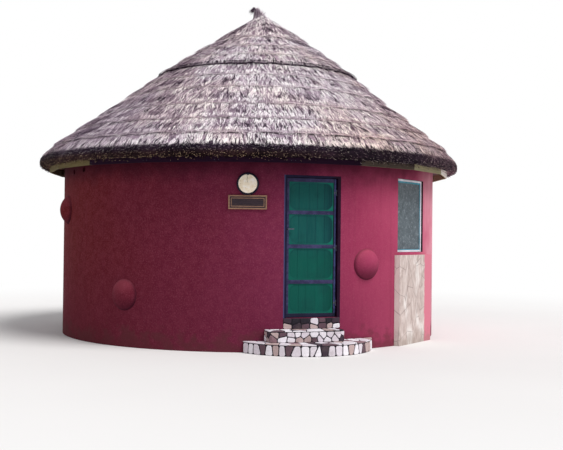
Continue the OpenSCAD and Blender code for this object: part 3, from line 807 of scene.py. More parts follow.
def rim_tufts(soup, course, rng, most_r):
    """Pale straw that hangs ragged over the edge between the top and the cut face, darkened as painted
    shade the lower it hangs and in dark notches.
    """
    azimuth, count = round_edge(rng, course, RIM_TUFTS)
    ragged = np.clip(0.5 + 0.5 * lip_wave(azimuth * 3) + 0.5 * lip_wave(azimuth * 9), 0, 1.5)
    drop = rng.uniform(0, 1, count) ** 1.3 * ragged * RIM_DROP
    tilt = lean(rng, azimuth, 0, 0.18)
    # Painted shade: the straw darkens as it hangs lower, and dark notch tufts stand in for shade
    tone = RIM_TONE - 3.2 * drop - shaded_side(azimuth) + rng.normal(0, TONE_SPREAD, count)
    notch = rng.uniform(0, 1, count) < 0.10 * (1.2 - ragged)
    tone = np.where(notch, NOTCH_TONE, tone)
    s = np.where(notch, rng.uniform(-0.02, 0.03, count), -0.6 * drop)
    height = np.where(notch, 0.008, -0.6 * drop)
    lay_tufts(soup, course.slope(), azimuth, s, tilt, -0.1, height, tone, rng, reach=(0.07, 0.14),
              width=(0.007, 0.012), fray=0.008, most_r=most_r)


def lip_tufts(soup, course, index, rng):
    """Cut ends under the lip of a course, and straw that droops over it where the line is faint. The
    line's shade
    is painted: darker cut ends, straw that darkens as it droops, and dark notch tufts.
    """
    depth = LINE_DEPTH[index]
    face = Slope([course.seat[2], (course.edge_r, course.edge_z)], course.centre)
    azimuth, s = scatter(rng, face, int(LIP_ENDS * 2 * pi * course.edge_r), 0, face.at[-1])
    ends = rng.uniform(0, 1, len(azimuth)) < depth
    azimuth, s = azimuth[ends], s[ends]
    count = len(azimuth)
    tilt, lift = rng.normal(0, 0.2, count), rng.normal(0.9, 0.15, count)
    # Painted shade: the cut ends are darker where the line is deeper
    tone = rng.normal(0.80 - 0.68 * min(1.0, depth), 0.12, count)
    lay_tufts(soup, face, azimuth, s, tilt, lift, -0.004, tone, rng, straws=2, reach=(0.05, 0.09),
              width=(0.010, 0.016), fray=0.006, thick_end="tip")
    top = course.slope()
    azimuth, count = round_edge(rng, course, LIP_TUFTS)
    fine_wave = lip_wave(azimuth * 7, index)
    open_line = depth * (0.8 + 0.9 * lip_wave(azimuth * 2, 2 * index) + 0.8 * fine_wave)
    drop = rng.uniform(0, 1, count) * (LIP_DROP - 0.054 * np.clip(open_line, 0, 1))
    tilt = lean(rng, azimuth, course.edge_r + index, 0.15)
    # Painted shade: the drooping straw darkens as it hangs lower, and more so where the line is deeper
    tone = LIP_TONE - 2.2 * drop + 0.06 * clump_tone(azimuth, course.edge_r) - shaded_side(azimuth)
    tone += rng.normal(0, 0.20, count) - 0.10 * min(1.0, depth)
    # Painted shadow: dark tufts just above the lip, where the line is deepest
    notch = (fine_wave > -0.2) & (rng.uniform(0, 1, count) < depth - 1)
    plain = ~notch
    lay_tufts(soup, top, azimuth[plain], (-1.1 * drop - 0.004)[plain], tilt[plain], -0.06,
              -np.minimum(drop, 0.045)[plain], tone[plain], rng, straws=2, reach=(0.06, 0.12),
              width=(0.009, 0.015), fray=0.016)
    if notch.any():
        s = rng.uniform(-0.024, 0.006, notch.sum())
        lay_tufts(soup, top, azimuth[notch], s, tilt[notch], -0.06, 0.013, 0.04, rng, straws=2,
                  reach=(0.022, 0.045), width=(0.014, 0.022), fray=0.004)


def eave_tufts(soup, course, rng, most_r):
    """The eave's dark cut face: blunt ends of straw, a few of them pale, lighter towards the right as
    painted sunlight.
    """
    face = Slope(eave_line(course, 0.0)[:-1], course.centre)
    azimuth, s = scatter(rng, face, int(EAVE_ENDS * 2 * pi * course.edge_r), 0.0, face.at[-1])
    count = len(azimuth)
    point, _, side, _ = face.frame(azimuth, s)
    fall, turn = rng.normal(0.62, 0.2, count), rng.normal(0, 0.2, count)
    direction = swing(swing(outwards(azimuth), -UP, fall), side, turn)
    fringe = (1 - smooth_step(0.0, 0.04, s)) * rng.uniform(0, 0.06, count)
    tip = point + direction * rng.uniform(-0.03, 0.012, count)[:, None] - UP * fringe[:, None]
    hold_within(tip, most_r)
    foot = tip - direction * rng.uniform(0.06, 0.12, count)[:, None]
    bearing = azimuth_turn(azimuth)
    tone = rng.normal(FACE_TONE, 0.05, count) + 0.03 * clump_tone(azimuth, course.edge_r)
    # Painted sunlight: the cut face is lighter towards the right, where the light falls, and a little
    # lighter towards the left
    tone += 0.27 * smooth_step(0.2, 0.9, bearing) + 0.10 * smooth_step(0.5, 1.3, -bearing)
    tone = np.clip(tone, 0.0, 1)
    pale = rng.uniform(0, 1, count) < 0.34 + 0.15 * smooth_step(0.3, 1.1, -bearing)
    ends = np.where(pale, rng.normal(PALE_END_TONE, 0.15, count), tone * 1.2)
    straw_mesh(soup, foot, tip, rng.uniform(0.014, 0.025, count), np.cross(side, direction), tone,
               np.clip(ends, 0.0, 1), thick_end="tip")


def build_course(courses, index):
    """A solid core a little below the course's surface, and the straw on it."""
    course = courses[index]
    rng = np.random.default_rng(100 + index)
    soup = Soup()
    inset = FUZZ / 2
    most_r = None
    if index == 0:
        lower = eave_line(course, FUZZ)
        most_r = course.edge_r - EAVE_IN
        rim = eave_arc(course, 0, RIM_ANGLE, EAVE_TOP_ANGLE, 4)
        course.line = np.array(rim + list(course.line[1:]))
        course.at_next = course.slope().at[len(rim)]
    else:
        *seat, (face_r, face_z) = course.seat
        lower = seat + [(face_r - inset, face_z), (course.edge_r - inset, course.edge_z - inset)]
    if course is courses[-1]:
        upper = [(r, z - inset) for r, z in course.line[1:]]
        upper += [(0.0, course.seat_z - inset), (0.0, under_z(0))]
    else:
        next_r = courses[index + 1].edge_r
        cover_r = next_r + NEXT_COVER
        slope_z = np.interp(cover_r, course.line[::-1, 0], course.line[::-1, 1])
        upper = [(cover_r, slope_z - inset), (next_r - COURSE_LAP, course.seat_z),
                 (under_r(course.seat_z), course.seat_z)]
    wobble = [WOBBLE if index == 0 or 1 < k else 0.0 for k in range(len(lower))] + [0.0] * len(upper)
    # Painted shade: the lip's face in the core is darker where the line is deeper
    under_tone = DARK_TONE if index == 0 else 0.95 - 0.85 * min(1.0, LINE_DEPTH[index])
    tones = [DARK_TONE] * 2 + [under_tone] * (len(lower) - 3) + [CORE_TONE] * (len(upper) + 1)
    turned(soup, lower + upper, course.centre, tones, wobble)
    surface_tufts(soup, course, index, rng, most_r)
    if index == 0:
        eave_tufts(soup, course, rng, most_r)
        rim_tufts(soup, course, rng, most_r)
    else:
        lip_tufts(soup, course, index, rng)
    soup.build(f"straw_{course.node}", "thatch", replaces=(course.node,))


STUB_STRAWS = 520
SKIRT_STRAWS = 420
HUMP_STRAWS = 520
WISP_STRAWS = 60


def build_bundle():
    """The bundle of straw at the peak: a stub, a skirt round its foot, a hump and a hanging wisp."""
    low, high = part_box("cap_tuft")
    rng = np.random.default_rng(77)
    soup = Soup()
    middle = plan_centre(low, high)
    radius, top = (high.x - low.x) / 2, high.z
    camera_left = np.array([-cos(CAMERA_YAW), sin(CAMERA_YAW), 0.0])

    def spikes(foot, tip, tone, spread):
        tones = np.clip(rng.normal(tone, spread, len(foot)), LEAST_TONE, 1)
        up = np.broadcast_to([0.6, -0.8, 0.05], foot.shape)
        straw_mesh(soup, foot, tip, rng.uniform(0.007, 0.013, len(foot)), up, tones, tones)

    def amounts(low, high, count):
        return rng.uniform(low, high, count)[:, None]

    def ring(count, low_r, high_r):
        turn = rng.uniform(0, 2 * pi, count)
        return np.stack([np.cos(turn), np.sin(turn), 0 * turn], 1), amounts(low_r, high_r, count)

    out, r = ring(STUB_STRAWS, 0, radius * 0.72)
    foot = middle + out * r * 1.15 + UP * (low.z - 0.02)
    tall = top - 0.012 - amounts(0, 0.07, STUB_STRAWS) - 0.35 * np.maximum(r - radius * 0.35, 0)
    spikes(foot, middle + out * r * amounts(0.7, 1.25, STUB_STRAWS) + UP * tall, 0.48, 0.15)
    out, r = ring(SKIRT_STRAWS, radius * 0.45, radius * 0.62)
    rise = amounts(0.05, 0.12, SKIRT_STRAWS)
    flare = np.where(out @ camera_left > 0.3, 0.02, 0.10)[:, None] * amounts(0.3, 1.0, SKIRT_STRAWS)
    foot = middle + out * (radius * 0.95 + flare) + UP * (low.z - 0.03 - 0.7 * flare)
    spikes(foot, middle + out * r + UP * (low.z + rise), 0.55, 0.14)
    jitter = rng.normal(0, 0.02, (HUMP_STRAWS, 3))
    hump = middle - camera_left * amounts(0.0, 0.15, HUMP_STRAWS) + jitter
    fallen = np.abs((hump - middle) @ camera_left)[:, None]
    hump_top = top - 0.035 - fallen * 0.75 - amounts(0, 0.03, HUMP_STRAWS)
    spikes(hump + UP * (low.z - 0.05), hump + UP * hump_top, 0.64, 0.16)
    crook = middle + camera_left * 0.055 + UP * (top - 0.045)
    jitter = rng.normal(0, 0.010, (WISP_STRAWS, 3))
    spikes(middle + jitter + UP * (top - 0.11), crook + jitter, 0.30, 0.08)
    fall = camera_left * amounts(0.045, 0.11, WISP_STRAWS) - UP * amounts(0.05, 0.125, WISP_STRAWS)
    spikes(crook + jitter, crook + jitter + fall, 0.28, 0.08)
    soup.build("straw_peak_bundle", "thatch", replaces=("cap_tuft",))


def build_roof():
    courses = roof_courses()
    for index in range(len(courses)):
        build_course(courses, index)
    build_bundle()


# Door, window, lamp and sign

BOX_FACES = [(0, 2, 1), (0, 3, 2), (4, 5, 6), (4, 6, 7), (0, 1, 5), (0, 5, 4),
             (1, 2, 6), (1, 6, 5), (2, 3, 7), (2, 7, 6), (3, 0, 4), (3, 4, 7)]
MIDDLE_TONE = 0.5


def add_box(soup, axes, low, high, tone=MIDDLE_TONE):
    """A box between two corners, given sideways, outwards and upwards on the wall's axes."""
    (x0, y0, z0), (x1, y1, z1) = low, high
    verts = np.array([(x, y, z) for z in (z0, z1) for x, y in ((x0, y0), (x1, y0), (x1, y1), (x0, y1))])
    soup.add(verts @ axes, BOX_FACES, tone)


def local_box(node, azimuth):
    """Corners of the part of a node that faces an azimuth, sideways, outwards and upwards."""
    points = np.array([tuple(v.co) for v in nodes[node].data.vertices]) @ wall_axes(azimuth).T
    points = points[points[:, 1] > 0]
    return points.min(0), points.max(0)


def add_bars(soup, axes, left, right, bottom, top, back, face, widths, level=False):
    """Four bars inside a rectangle's edges. The upright ones run through, or else the level ones."""
    near, far, foot, head = widths
    if level:
        left, right, bottom, top = bottom, top, left, right
    for a0, a1, b0, b1 in ((left, left + near, bottom, top), (right - far, right, bottom, top),
                           (left + near, right - far, bottom, bottom + foot),
                           (left + near, right - far, top - head, top)):
        x0, x1, z0, z1 = (b0, b1, a0, a1) if level else (a0, a1, b0, b1)
        add_box(soup, axes, (x0, back, z0), (x1, face, z1))


FIELD_IN = 0.014
FIELD_CORNER = 0.110
FIELD_DEPTH = 0.004
JOINT_DEPTH = 0.003
BOARDS = 5
PANEL_COLUMNS = 76
PANEL_ROWS = 48
BOARD_RIM_TONE = 0.70
BOARD_FIELD_TONE = 0.48
BOARD_SIDE_TONE = 0.40


def panel_limits():
    """Lowest and highest edge of each panel in the leaf, read from the node's left edge."""
    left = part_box("door_panels")[0].x
    edge = [v.co.z for v in nodes["door_panels"].data.vertices if v.co.x < left + 0.0005]
    levels = sorted({round(z, 4) for z in edge})
    return list(zip(levels[::2], levels[1::2]))


def build_door_panels():
    """Boards in the leaf: bright rims and corners round a duller sunk field with upright joints, and
    painted shade:
    the field darker towards its right, a dark line round its sunk edge, and shadow under each rail.
    """
    low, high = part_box("door_panels")
    width = high.x - low.x
    soup = Soup()
    rng = np.random.default_rng(31)
    for bottom, top in panel_limits():
        x, z = np.meshgrid(np.linspace(low.x, high.x, PANEL_COLUMNS),
                           np.linspace(bottom, top, PANEL_ROWS))
        middle_x, middle_z = (low.x + high.x) / 2, (bottom + top) / 2
        over = [np.maximum(np.abs(at - middle) - (size / 2 - FIELD_IN - FIELD_CORNER), 0)
                for at, middle, size in ((x, middle_x, width), (z, middle_z, top - bottom))]
        rim = np.hypot(*over) - FIELD_CORNER
        field = 1 - smooth_step(-0.010, 0.004, rim)
        shares = np.cumsum(rng.uniform(0.8, 1.2, BOARDS))
        joints = low.x + width * shares[:-1] / shares[-1]
        joint = np.max([1 - smooth_step(0.001, 0.007, np.abs(x - at)) for at in joints], 0)
        board = rng.uniform(-0.06, 0.06, BOARDS)[np.searchsorted(joints, x)]
        share = (x - low.x) / width
        rim_tone = BOARD_RIM_TONE + 0.24 * smooth_step(0.5, 0.8, share)
        # Painted shade: the field darkens towards its right side, next to the stile
        field_tone = BOARD_FIELD_TONE + board - 0.24 * smooth_step(0.72, 0.98, share)
        tone = rim_tone * (1 - field) + field * field_tone - 0.24 * joint * field
        # Painted shade: a dark line round the sunk field's edge, and shadow on the field under each rail
        rail_shadow = 1 - smooth_step(0.0, 0.03, top - z)
        tone -= 0.18 * np.exp(-np.square(rim / 0.014)) + 0.15 * rail_shadow * field
        depth = (FIELD_DEPTH + JOINT_DEPTH * joint) * field
        front = np.stack([x, low.y + depth, z], -1).reshape(-1, 3)
        faces = grid_faces(PANEL_ROWS, PANEL_COLUMNS)
        soup.add(front, faces, tone.reshape(-1)[faces].mean(1), smooth=True)
        index = np.arange(x.size).reshape(x.shape)
        edge = front[np.concatenate([index[0, :-1], index[:-1, -1], index[-1, :0:-1], index[:0:-1, 0]])]
        back = edge.copy()
        back[:, 1] = high.y
        n = len(edge)
        k = np.arange(n)
        following = (k + 1) % n
        side = band_faces(following, k, k + n, following + n)
        lid = np.stack([k + n, np.full(n, 2 * n), following + n], 1)
        verts = np.concatenate([edge, back, [(middle_x, high.y, middle_z)]])
        soup.add(verts, np.concatenate([side, lid]), BOARD_SIDE_TONE)
    soup.build("door_boards", "door_green", body="door", replaces=("door_panels",))


BEAD_WIDTHS = (0.016, 0.008, 0.012, 0.026)   # left, right, foot and head
BEAD_OUT = 0.008
REVEAL_T = 0.002


def build_window_trim():
    """A painted bead round each pane, and thin dark strips on each frame's reveals as painted shade."""
    beads, reveals = Soup(), Soup()
    for azimuth in (WINDOW_AZIMUTH, WINDOW_AZIMUTH - 180):
        axes = wall_axes(azimuth)
        (left, _, bottom), (right, outer, top) = local_box("window_panes", azimuth)
        add_bars(beads, axes, left, right, bottom, top, outer, outer + BEAD_OUT, BEAD_WIDTHS)
        # Painted shade: thin dark strips on the frame's reveals
        (left, _, bottom), (right, outer, top) = local_box("window_frames", azimuth)
        face = sqrt(WALL_R ** 2 - right ** 2) - 0.002
        add_bars(reveals, axes, left, right, bottom, top, outer, face, [REVEAL_T] * 4)
    beads.build("window_beads", "window_bead", slot="window_metal")
    reveals.build("window_reveals", "dark_reveal", slot="frame_paint")


SIGN_RIM = 0.014
SIGN_LINE_IN = SIGN_RIM + 0.024
SIGN_LINE_T = 0.010
SIGN_FIELD_DEPTHS = (0.008, 0.003)    # back and face, below the border's face
SIGN_LINE_DEPTHS = (0.006, 0.0015)
SIGN_PLANKS = 3
PLANK_GAP = 0.0008


def build_sign_field():
    """The dark bare board inside the sign's raised border, and the thin line on it."""
    axes = wall_axes(LAMP_AZIMUTH)
    (left, _, bottom), (right, outer, top) = local_box("sign_board", LAMP_AZIMUTH)
    field, line = Soup(), Soup()
    rng = np.random.default_rng(41)
    back, face = [outer - depth for depth in SIGN_FIELD_DEPTHS]
    planks = np.linspace(bottom + SIGN_RIM, top - SIGN_RIM, SIGN_PLANKS + 1)
    for z0, z1 in zip(planks, planks[1:]):
        add_box(field, axes, (left + SIGN_RIM, back, z0 + PLANK_GAP),
                (right - SIGN_RIM, face, z1 - PLANK_GAP), rng.uniform(0.3, 0.7))
    back, face = [outer - depth for depth in SIGN_LINE_DEPTHS]
    inner = left + SIGN_LINE_IN, right - SIGN_LINE_IN, bottom + SIGN_LINE_IN, top - SIGN_LINE_IN
    add_bars(line, axes, *inner, back, face, [SIGN_LINE_T] * 4, level=True)
    field.build("sign_field", "sign_wood")
    line.build("sign_line", "sign_border", slot="sign_wood")


GLASS_MARGIN = 0.015    # what shows of the ring outside the glass
GLASS_SINK = 0.004      # how far the glass's rim lies behind the ring's face
GLASS_BACK = 0.012      # depth of the glass's flat back behind that face
GLASS_RINGS = 10
GLASS_PARTS = 48
CRACK_HALF = 0.0045
CRACK_LINE = [(-0.006, 0.99), (-0.014, 0.80), (-0.004, 0.60), (-0.012, 0.38), (-0.002, 0.10)]
CRACK_FACES = [(0, 1, 4), (0, 4, 3), (1, 2, 5), (1, 5, 4), (2, 0, 3), (2, 3, 5), (0, 2, 1), (3, 4, 5)]


def build_lamp_glass():
    """The domed glass that overlaps its ring, with a dark split from the clip at the top."""
    axes = wall_axes(LAMP_AZIMUTH)
    outer = local_box("lamp_lens", LAMP_AZIMUTH)[1][1]
    (left, _, bottom), (right, ring_out, top) = local_box("lamp_ring", LAMP_AZIMUTH)
    radius, middle = (right - left) / 2 - GLASS_MARGIN, (top + bottom) / 2
    dome = outer - ring_out + GLASS_SINK
    ball = (radius ** 2 + dome ** 2) / (2 * dome)

    def front(x, z):
        return outer - ball + sqrt(max(ball ** 2 - x ** 2 - (z - middle) ** 2, 0))

    glass, clip = Soup(), Soup()
    points = [(0.0, outer, middle)]
    for ring in range(1, GLASS_RINGS + 1):
        for k in range(GLASS_PARTS):
            turn = 2 * pi * k / GLASS_PARTS
            x, z = radius * ring / GLASS_RINGS * np.array((cos(turn), sin(turn)))
            points.append((x, front(x, middle + z), middle + z))
    points += [(x, ring_out - GLASS_BACK, z) for x, _, z in points[-GLASS_PARTS:]]
    points.append((0.0, ring_out - GLASS_BACK, middle))
    k = np.arange(GLASS_PARTS)
    f = (k + 1) % GLASS_PARTS
    faces = [np.stack([k * 0, 1 + f, 1 + k], 1)]
    for ring in range(GLASS_RINGS):
        a, b = 1 + ring * GLASS_PARTS, 1 + (ring + 1) * GLASS_PARTS
        faces.append(band_faces(a + k, a + f, b + f, b + k))
    last = 1 + GLASS_RINGS * GLASS_PARTS
    faces.append(np.stack([last + k, last + f, k * 0 + last + GLASS_PARTS], 1))
    glass.add(np.array(points) @ axes, np.concatenate(faces)[:, ::-1], MIDDLE_TONE, smooth=True)
    glass.build("lamp_dome", "lamp_glass", replaces=("lamp_lens",))
    for (xa, ha), (xb, hb) in zip(CRACK_LINE, CRACK_LINE[1:]):
        verts = [(x + side, front(x, middle + h * radius) + raised, middle + h * radius)
                 for x, h in ((xa, ha), (xb, hb))
                 for side, raised in ((-CRACK_HALF, -0.002), (0, 0.0015), (CRACK_HALF, -0.002))]
        clip.add(np.array(verts) @ axes, CRACK_FACES, MIDDLE_TONE)
    head = middle + radius
    add_box(clip, axes, (-0.016, ring_out - 0.01, head - 0.024), (0.016, ring_out + 0.008, head + 0.006))
    clip.build("lamp_clip", "lamp_rim")


# Stones on the steps

STONE_SINK = 0.014     # depth of a stone's foot below its face
MORTAR_IN = 0.009      # depth of the mortar below the stones' faces
TREAD_T = 0.022        # what the tread's stones take of a riser's height
LEAST_STONE = 0.0006   # area of the smallest stone
CELL_REACH = 0.3
MORTAR_TONE = 0.05
MORTAR_STEPS = 90
TREAD_GAP = 0.014
TREAD_BACK = 0.006     # from the wall's face to the stones on a tread
# Node, the riser's rows, stone width, gap and share of pale stones, and the tread's spacing and share
STEPS = (("step_low", (1, 0.105, 0.016, 0.75), (0.15, 0.80)),
         ("step_middle", (2, 0.115, 0.013, 0.78), (0.13, 0.85)))
SILL_RISER = (2, 0.12, 0.016, 0.34)
SILL_DARK = (0.02, 0.30)
DARK_STONES = (0.11, 0.50)
SILL_OUT = 0.010       # from the wall's face to the stones under the door
STONE_EDGE = 0.004     # from an edge to the nearest stone
STEP_CORNER = 0.090
STEP_CORNER_Y = 0.130
STEP_BACK = 0.060      # how far the step's sides run into the wall


def clip_cell(cell, point, normal):
    """The part of a convex cell that lies behind a line through a point."""
    depth = (cell - point) @ normal
    kept = []
    for here, d, following, e in zip(cell, depth, np.roll(cell, -1, 0), np.roll(depth, -1)):
        if d <= 0:
            kept.append(here)
        if d * e < 0:
            kept.append(here + (following - here) * d / (d - e))
    return np.array(kept)


def stone_cells(sites, gap, borders):
    """Convex cells round the sites, a joint apart and inside the border lines near each site."""
    cells = []
    for i, site in enumerate(sites):
        cell = site + CELL_REACH * np.array([(-1, -1), (1, -1), (1, 1), (-1, 1)])
        away = sites - site
        distance = np.hypot(*away.T)
        lines = []
        for j in np.argsort(distance)[1:14]:
            normal = away[j] / distance[j]
            lines.append((site + away[j] / 2 - normal * gap / 2, normal))
        for point, normal in lines + list(borders(site)):
            if len(cell) >= 3:
                cell = clip_cell(cell, point, normal)
        if len(cell) >= 3:
            cells.append(cell)
    return cells


def add_stone(soup, cell, place_at, tone):
    """One stone over a cell: rounded corners, a bevelled rim and a skirt down into the mortar."""
    x, y = cell.T
    if abs(np.dot(x, np.roll(y, -1)) - np.dot(y, np.roll(x, -1))) / 2 < LEAST_STONE:
        return
    following = np.roll(cell, -1, 0)
    cell = np.stack([cell * 0.84 + following * 0.16, cell * 0.16 + following * 0.84], 1).reshape(-1, 2)
    middle = cell.mean(0)
    inward = middle - cell
    inward /= np.linalg.norm(inward, axis=1)[:, None] + 1e-9
    n = len(cell)
    verts = np.concatenate([place_at(cell, -STONE_SINK), place_at(cell, -0.004),
                            place_at(cell + inward * 0.005, 0.0), place_at(middle[None], 0.0)])
    k = np.arange(n)
    f = (k + 1) % n
    rings = [band_faces(k + a, f + a, f + b, k + b) for a, b in ((0, n), (n, 2 * n))]
    lid = np.stack([k + 2 * n, f + 2 * n, np.full(n, 3 * n)], 1)
    floor = np.stack([np.full(n - 2, 0), k[2:], k[1:-1]], 1)
    soup.add(verts, np.concatenate(rings + [lid, floor]), tone)


def stone_tone(rng, pale, dark=DARK_STONES):
    """Mostly pale stones, with some purple, brown and dark ones."""
    return rng.uniform(0.5, 1.0) if rng.uniform() < pale else rng.uniform(*dark)


class Outline:
    """The line of a step's edge in plan, by its length, with the direction outwards."""

    def __init__(self, points):
        self.points = np.asarray(points, float)
        step, length, self.at = paced(self.points)
        self.length = self.at[-1]
        flat = np.stack([step[:, 1], -step[:, 0]], 1) / length[:, None]
        self.flat_outward = flat
        self.outward = unit(np.concatenate([flat[:1], (flat[1:] + flat[:-1]) / 2, flat[-1:]]))

    def place(self, u, inset):
        x, y, out_x, out_y = [np.interp(u, self.at, column)
                              for column in (*self.points.T, *self.outward.T)]
        return np.stack([x + out_x * inset, y + out_y * inset], 1)


def step_outlines():
    """Edges of the low and the middle step from left to right, measured on the frame's boxes."""
    low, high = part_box("step_low")
    radius = (high.x - low.x) / 2
    centre_y = low.y + radius
    angles = np.radians(np.linspace(-72, 72, 73))
    low_step = np.stack([radius * np.sin(angles), centre_y - radius * np.cos(angles)], 1)
    low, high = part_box("step_middle")
    front, corner, corner_y = -low.y, STEP_CORNER, low.y + STEP_CORNER_Y
    turn = np.radians(np.linspace(0, 90, 10))
    left = [(low.x, -WALL_R + STEP_BACK), (low.x, corner_y)] + [
        (low.x + corner - corner * cos(a), corner_y - corner * sin(a)) for a in turn[1:]]
    right = [(high.x - corner + corner * cos(a), corner_y - corner * sin(a)) for a in turn[::-1]] + [
        (high.x, -WALL_R + STEP_BACK)]
    middle = [(x, -sqrt(front ** 2 - x * x)) for x in np.linspace(low.x + corner, high.x - corner, 40)]
    left, right = [[p for p in corner_line if hypot(*p) < front] for corner_line in (left, right)]
    return Outline(low_step[np.hypot(*low_step.T) > WALL_R]), Outline(left + middle + right)


def sweep_mortar(soup, outline, bottom, top):
    """The mortar behind the stones: a closed band between the edge and the wall."""
    u = np.linspace(0, outline.length, MORTAR_STEPS)
    edge = outline.place(u, -MORTAR_IN)
    ends = np.arctan2(outline.points[[0, -1], 0], -outline.points[[0, -1], 1])
    azimuth = np.clip(np.arctan2(edge[:, 0], -edge[:, 1]), *ends)
    wall = outwards(azimuth)[:, :2] * (WALL_R + 0.001)
    rows = [np.column_stack([line, np.full(len(u), z)]) for line, z in
            ((edge, bottom), (edge, top), (wall, top), (wall, bottom))]
    last = 4 * (len(u) - 1)
    caps = [(0, 1, 2), (0, 2, 3), (last, last + 2, last + 1), (last, last + 3, last + 2)]
    faces = grid_faces(len(u), 4, wrap_columns=True)[:, ::-1]
    soup.add(np.stack(rows, 1), np.concatenate([faces, caps]), MORTAR_TONE)


def riser_stones(soup, rng, outline, bottom, top, rows, width, gap, pale, dark=DARK_STONES):
    """Stones set upright along a riser, in rough rows."""
    height = top - bottom
    columns = int(outline.length / width)
    sites = [((i + 0.5 + rng.uniform(-0.28, 0.28)) * outline.length / columns,
              bottom + (j + 0.5 + rng.uniform(-0.22, 0.22)) * height / rows)
             for i in range(columns) for j in range(rows)]
    borders = np.array([((STONE_EDGE, 0), (-1, 0)), ((outline.length - STONE_EDGE, 0), (1, 0)),
                        ((0, bottom + 0.003), (0, -1)), ((0, top - 0.003), (0, 1))])

    def at(points, depth):
        return np.column_stack([outline.place(points[:, 0], depth), points[:, 1]])

    for cell in stone_cells(np.array(sites), gap, lambda site: borders):
        add_stone(soup, cell, at, stone_tone(rng, pale, dark))


def tread_stones(soup, rng, outline, top, spacing, pale):
    """Flat stones over a tread, from its edge back to the wall."""
    back_r = WALL_R + TREAD_BACK
    low, high = outline.points.min(0), outline.points.max(0)
    reach = np.array([(x, y) for x in np.arange(low[0], high[0] + spacing, spacing)
                      for y in np.arange(low[1], high[1] + spacing, spacing)])
    sites = reach + rng.uniform(-0.32, 0.32, reach.shape) * spacing
    starts, ends = outline.points[:-1], outline.points[1:]
    outward = outline.flat_outward
    sites = np.array([site for site in sites if hypot(*site) > back_r + 0.012
                      and np.all(np.sum((site - starts) * outward, 1) < -0.012)])

    def borders(site):
        out = site / hypot(*site)
        near = np.hypot(*((starts + ends) / 2 - site).T) < CELL_REACH
        lines = [(start - normal * STONE_EDGE, normal)
                 for start, normal in zip(starts[near], outward[near])]
        return [(out * back_r, -out)] + lines

    def at(points, depth):
        return np.column_stack([points, np.full(len(points), top + depth)])

    for cell in stone_cells(sites, TREAD_GAP, borders):
        add_stone(soup, cell[::-1], at, stone_tone(rng, pale))


def build_steps():
    """Mortar and stones on both steps, and on the wall under the door."""
    rng = np.random.default_rng(51)
    bottom = 0.0
    for outline, (node, riser, tread) in zip(step_outlines(), STEPS):
        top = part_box(node)[1].z
        soup = Soup()
        sweep_mortar(soup, outline, bottom, top - MORTAR_IN)
        riser_stones(soup, rng, outline, bottom, top - TREAD_T, *riser)
        tread_stones(soup, rng, outline, top, *tread)
        soup.build(f"stones_{node}", "step_stone", replaces=(node,))
        bottom = top
    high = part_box("wall_under_door")[1]
    face_r = WALL_R + SILL_OUT
    sill = Outline([(x, -sqrt(face_r ** 2 - x * x)) for x in np.linspace(-high.x, high.x, 31)])
    under = Soup()
    sweep_mortar(under, sill, bottom, high.z - 0.001)
    riser_stones(under, rng, sill, bottom, high.z, *SILL_RISER, dark=SILL_DARK)
    under.build("stones_under_door", "step_stone")


NAIL_IN = 0.03          # from a board's ends and edges to its nails
NAIL_HALF = 0.004


def build_fascia_nails():
    """Two nail heads at each end of every fascia board."""
    low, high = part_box("fascia_boards")
    soup = Soup()
    half_board = FASCIA_R * sin(pi / FASCIA_BOARDS)
    out = FASCIA_R * cos(pi / FASCIA_BOARDS)
    for board in range(FASCIA_BOARDS):
        axes = wall_axes(FASCIA_AZIMUTH + (board + 0.5) * 360 / FASCIA_BOARDS)
        for x in (-half_board + NAIL_IN, half_board - NAIL_IN):
            for z in (low.z + NAIL_IN, high.z - NAIL_IN):
                add_box(soup, axes, (x - NAIL_HALF, out - 0.002, z - NAIL_HALF),
                        (x + NAIL_HALF, out + 0.0015, z + NAIL_HALF))
    soup.build("fascia_nails", "hinge_steel")


# Stage, light and camera

FLOOR_R = 60
FLOOR_SIDES = 96
FLOOR_DROP = 0.001
FADE_FROM = 5.5
FADE_TO = 15.0
KEY_STRENGTH = 2.8
KEY_AZIMUTH = 35
KEY_HEIGHT = 54
KEY_SPREAD = 30
SKY_STRENGTH = 0.5
SKY_COLOUR = (0.96, 0.96, 1.0, 1)


def seen_rays(tree):
    """1 for the rays that look at something, straight, in gloss or through glass, or else 0."""
    path = tree.nodes.new("ShaderNodeLightPath")
    shown = path.outputs["Is Camera Ray"]
    for ray in ("Is Glossy Ray", "Is Transmission Ray"):
        either = tree.nodes.new("ShaderNodeMath")
        either.operation = "MAXIMUM"
        tree.links.new(shown, either.inputs[0])
        tree.links.new(path.outputs[ray], either.inputs[1])
        shown = either.outputs["Value"]
    return shown


def blend_shaders(tree, fac, usual, shown, output):
    mixer = tree.nodes.new("ShaderNodeMixShader")
    for index, socket in enumerate((fac, usual, shown)):
        tree.links.new(socket, mixer.inputs[index])
    tree.links.new(mixer.outputs["Shader"], tree.nodes[output].inputs["Surface"])


def build_stage():
    """A pale floor that fades to white far from the hut."""
    floor = Paint("stage_floor", 0.9, 0.1)
    floor.paint = floor.mix(floor.noise(0.3, 2), (224, 222, 220), (230, 228, 226))
    fade = floor.span(floor.length(floor.object_coords), FADE_FROM, FADE_TO)
    fade = floor.math("MULTIPLY", fade, seen_rays(floor.tree))
    white = floor.new("Emission").outputs["Emission"]
    blend_shaders(floor.tree, fade, floor.shader.outputs["BSDF"], white, "Material Output")
    floor.finish()
    bpy.ops.mesh.primitive_circle_add(vertices=FLOOR_SIDES, radius=FLOOR_R, fill_type="NGON",
                                      location=(0, 0, -FLOOR_DROP))
    disc = bpy.context.object
    disc.name = "stage_floor"
    disc.data.materials.append(floor.material)


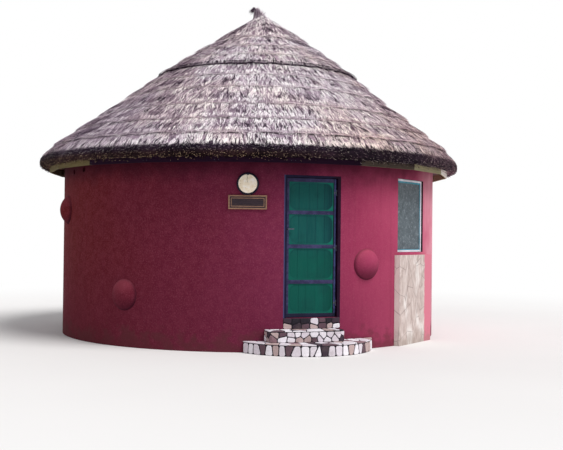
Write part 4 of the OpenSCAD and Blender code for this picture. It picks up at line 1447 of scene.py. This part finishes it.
def add_lamp(name, azimuth, elevation, strength, spread):
    """A far lamp that shines from an azimuth and a height, both in degrees."""
    lamp = bpy.data.objects.new(name, bpy.data.lights.new(name, "SUN"))
    lamp.data.energy = strength
    lamp.data.angle = radians(spread)
    towards = wall_axes(azimuth)[1] * cos(radians(elevation)) + UP * sin(radians(elevation))
    lamp.rotation_euler = Vector(towards).to_track_quat("Z", "Y").to_euler()
    bpy.context.scene.collection.objects.link(lamp)


def light_scene():
    add_lamp("key", KEY_AZIMUTH, KEY_HEIGHT, KEY_STRENGTH, KEY_SPREAD)
    world = bpy.data.worlds.new("studio")
    bpy.context.scene.world = world
    world.use_nodes = True
    tree = world.node_tree
    back, seen = tree.nodes["Background"], tree.nodes.new("ShaderNodeBackground")
    for node, colour, strength in ((back, SKY_COLOUR, SKY_STRENGTH), (seen, (1, 1, 1, 1), 1.0)):
        node.inputs["Color"].default_value = colour
        node.inputs["Strength"].default_value = strength
    blend_shaders(tree, seen_rays(tree), back.outputs["Background"], seen.outputs["Background"],
                  "World Output")
    bpy.context.scene.view_settings.view_transform = "Standard"


def set_camera():
    level = Vector((cos(CAMERA_YAW), -sin(CAMERA_YAW), 0))
    forward = Vector((sin(CAMERA_YAW) * cos(CAMERA_PITCH), cos(CAMERA_YAW) * cos(CAMERA_PITCH),
                      sin(CAMERA_PITCH)))
    upright = level.cross(forward)
    right = level * cos(CAMERA_ROLL) + upright * sin(CAMERA_ROLL)
    up = upright * cos(CAMERA_ROLL) - level * sin(CAMERA_ROLL)
    turn = Matrix((right, up, -forward)).transposed().to_4x4()
    camera = bpy.data.objects.new("camera", bpy.data.cameras.new("camera"))
    camera.data.lens = CAMERA_LENS
    camera.data.sensor_width = CAMERA_SENSOR
    camera.data.sensor_fit = "HORIZONTAL"
    camera.data.clip_end = CAMERA_FAR
    camera.matrix_world = Matrix.Translation(CAMERA_PLACE) @ turn
    bpy.context.scene.collection.objects.link(camera)
    bpy.context.scene.camera = camera


mix_paints()
paint_nodes()
build_roof()
build_door_panels()
build_window_trim()
build_sign_field()
build_lamp_glass()
build_steps()
build_fascia_nails()
build_stage()
light_scene()
set_camera()
bpy.context.view_layer.update()
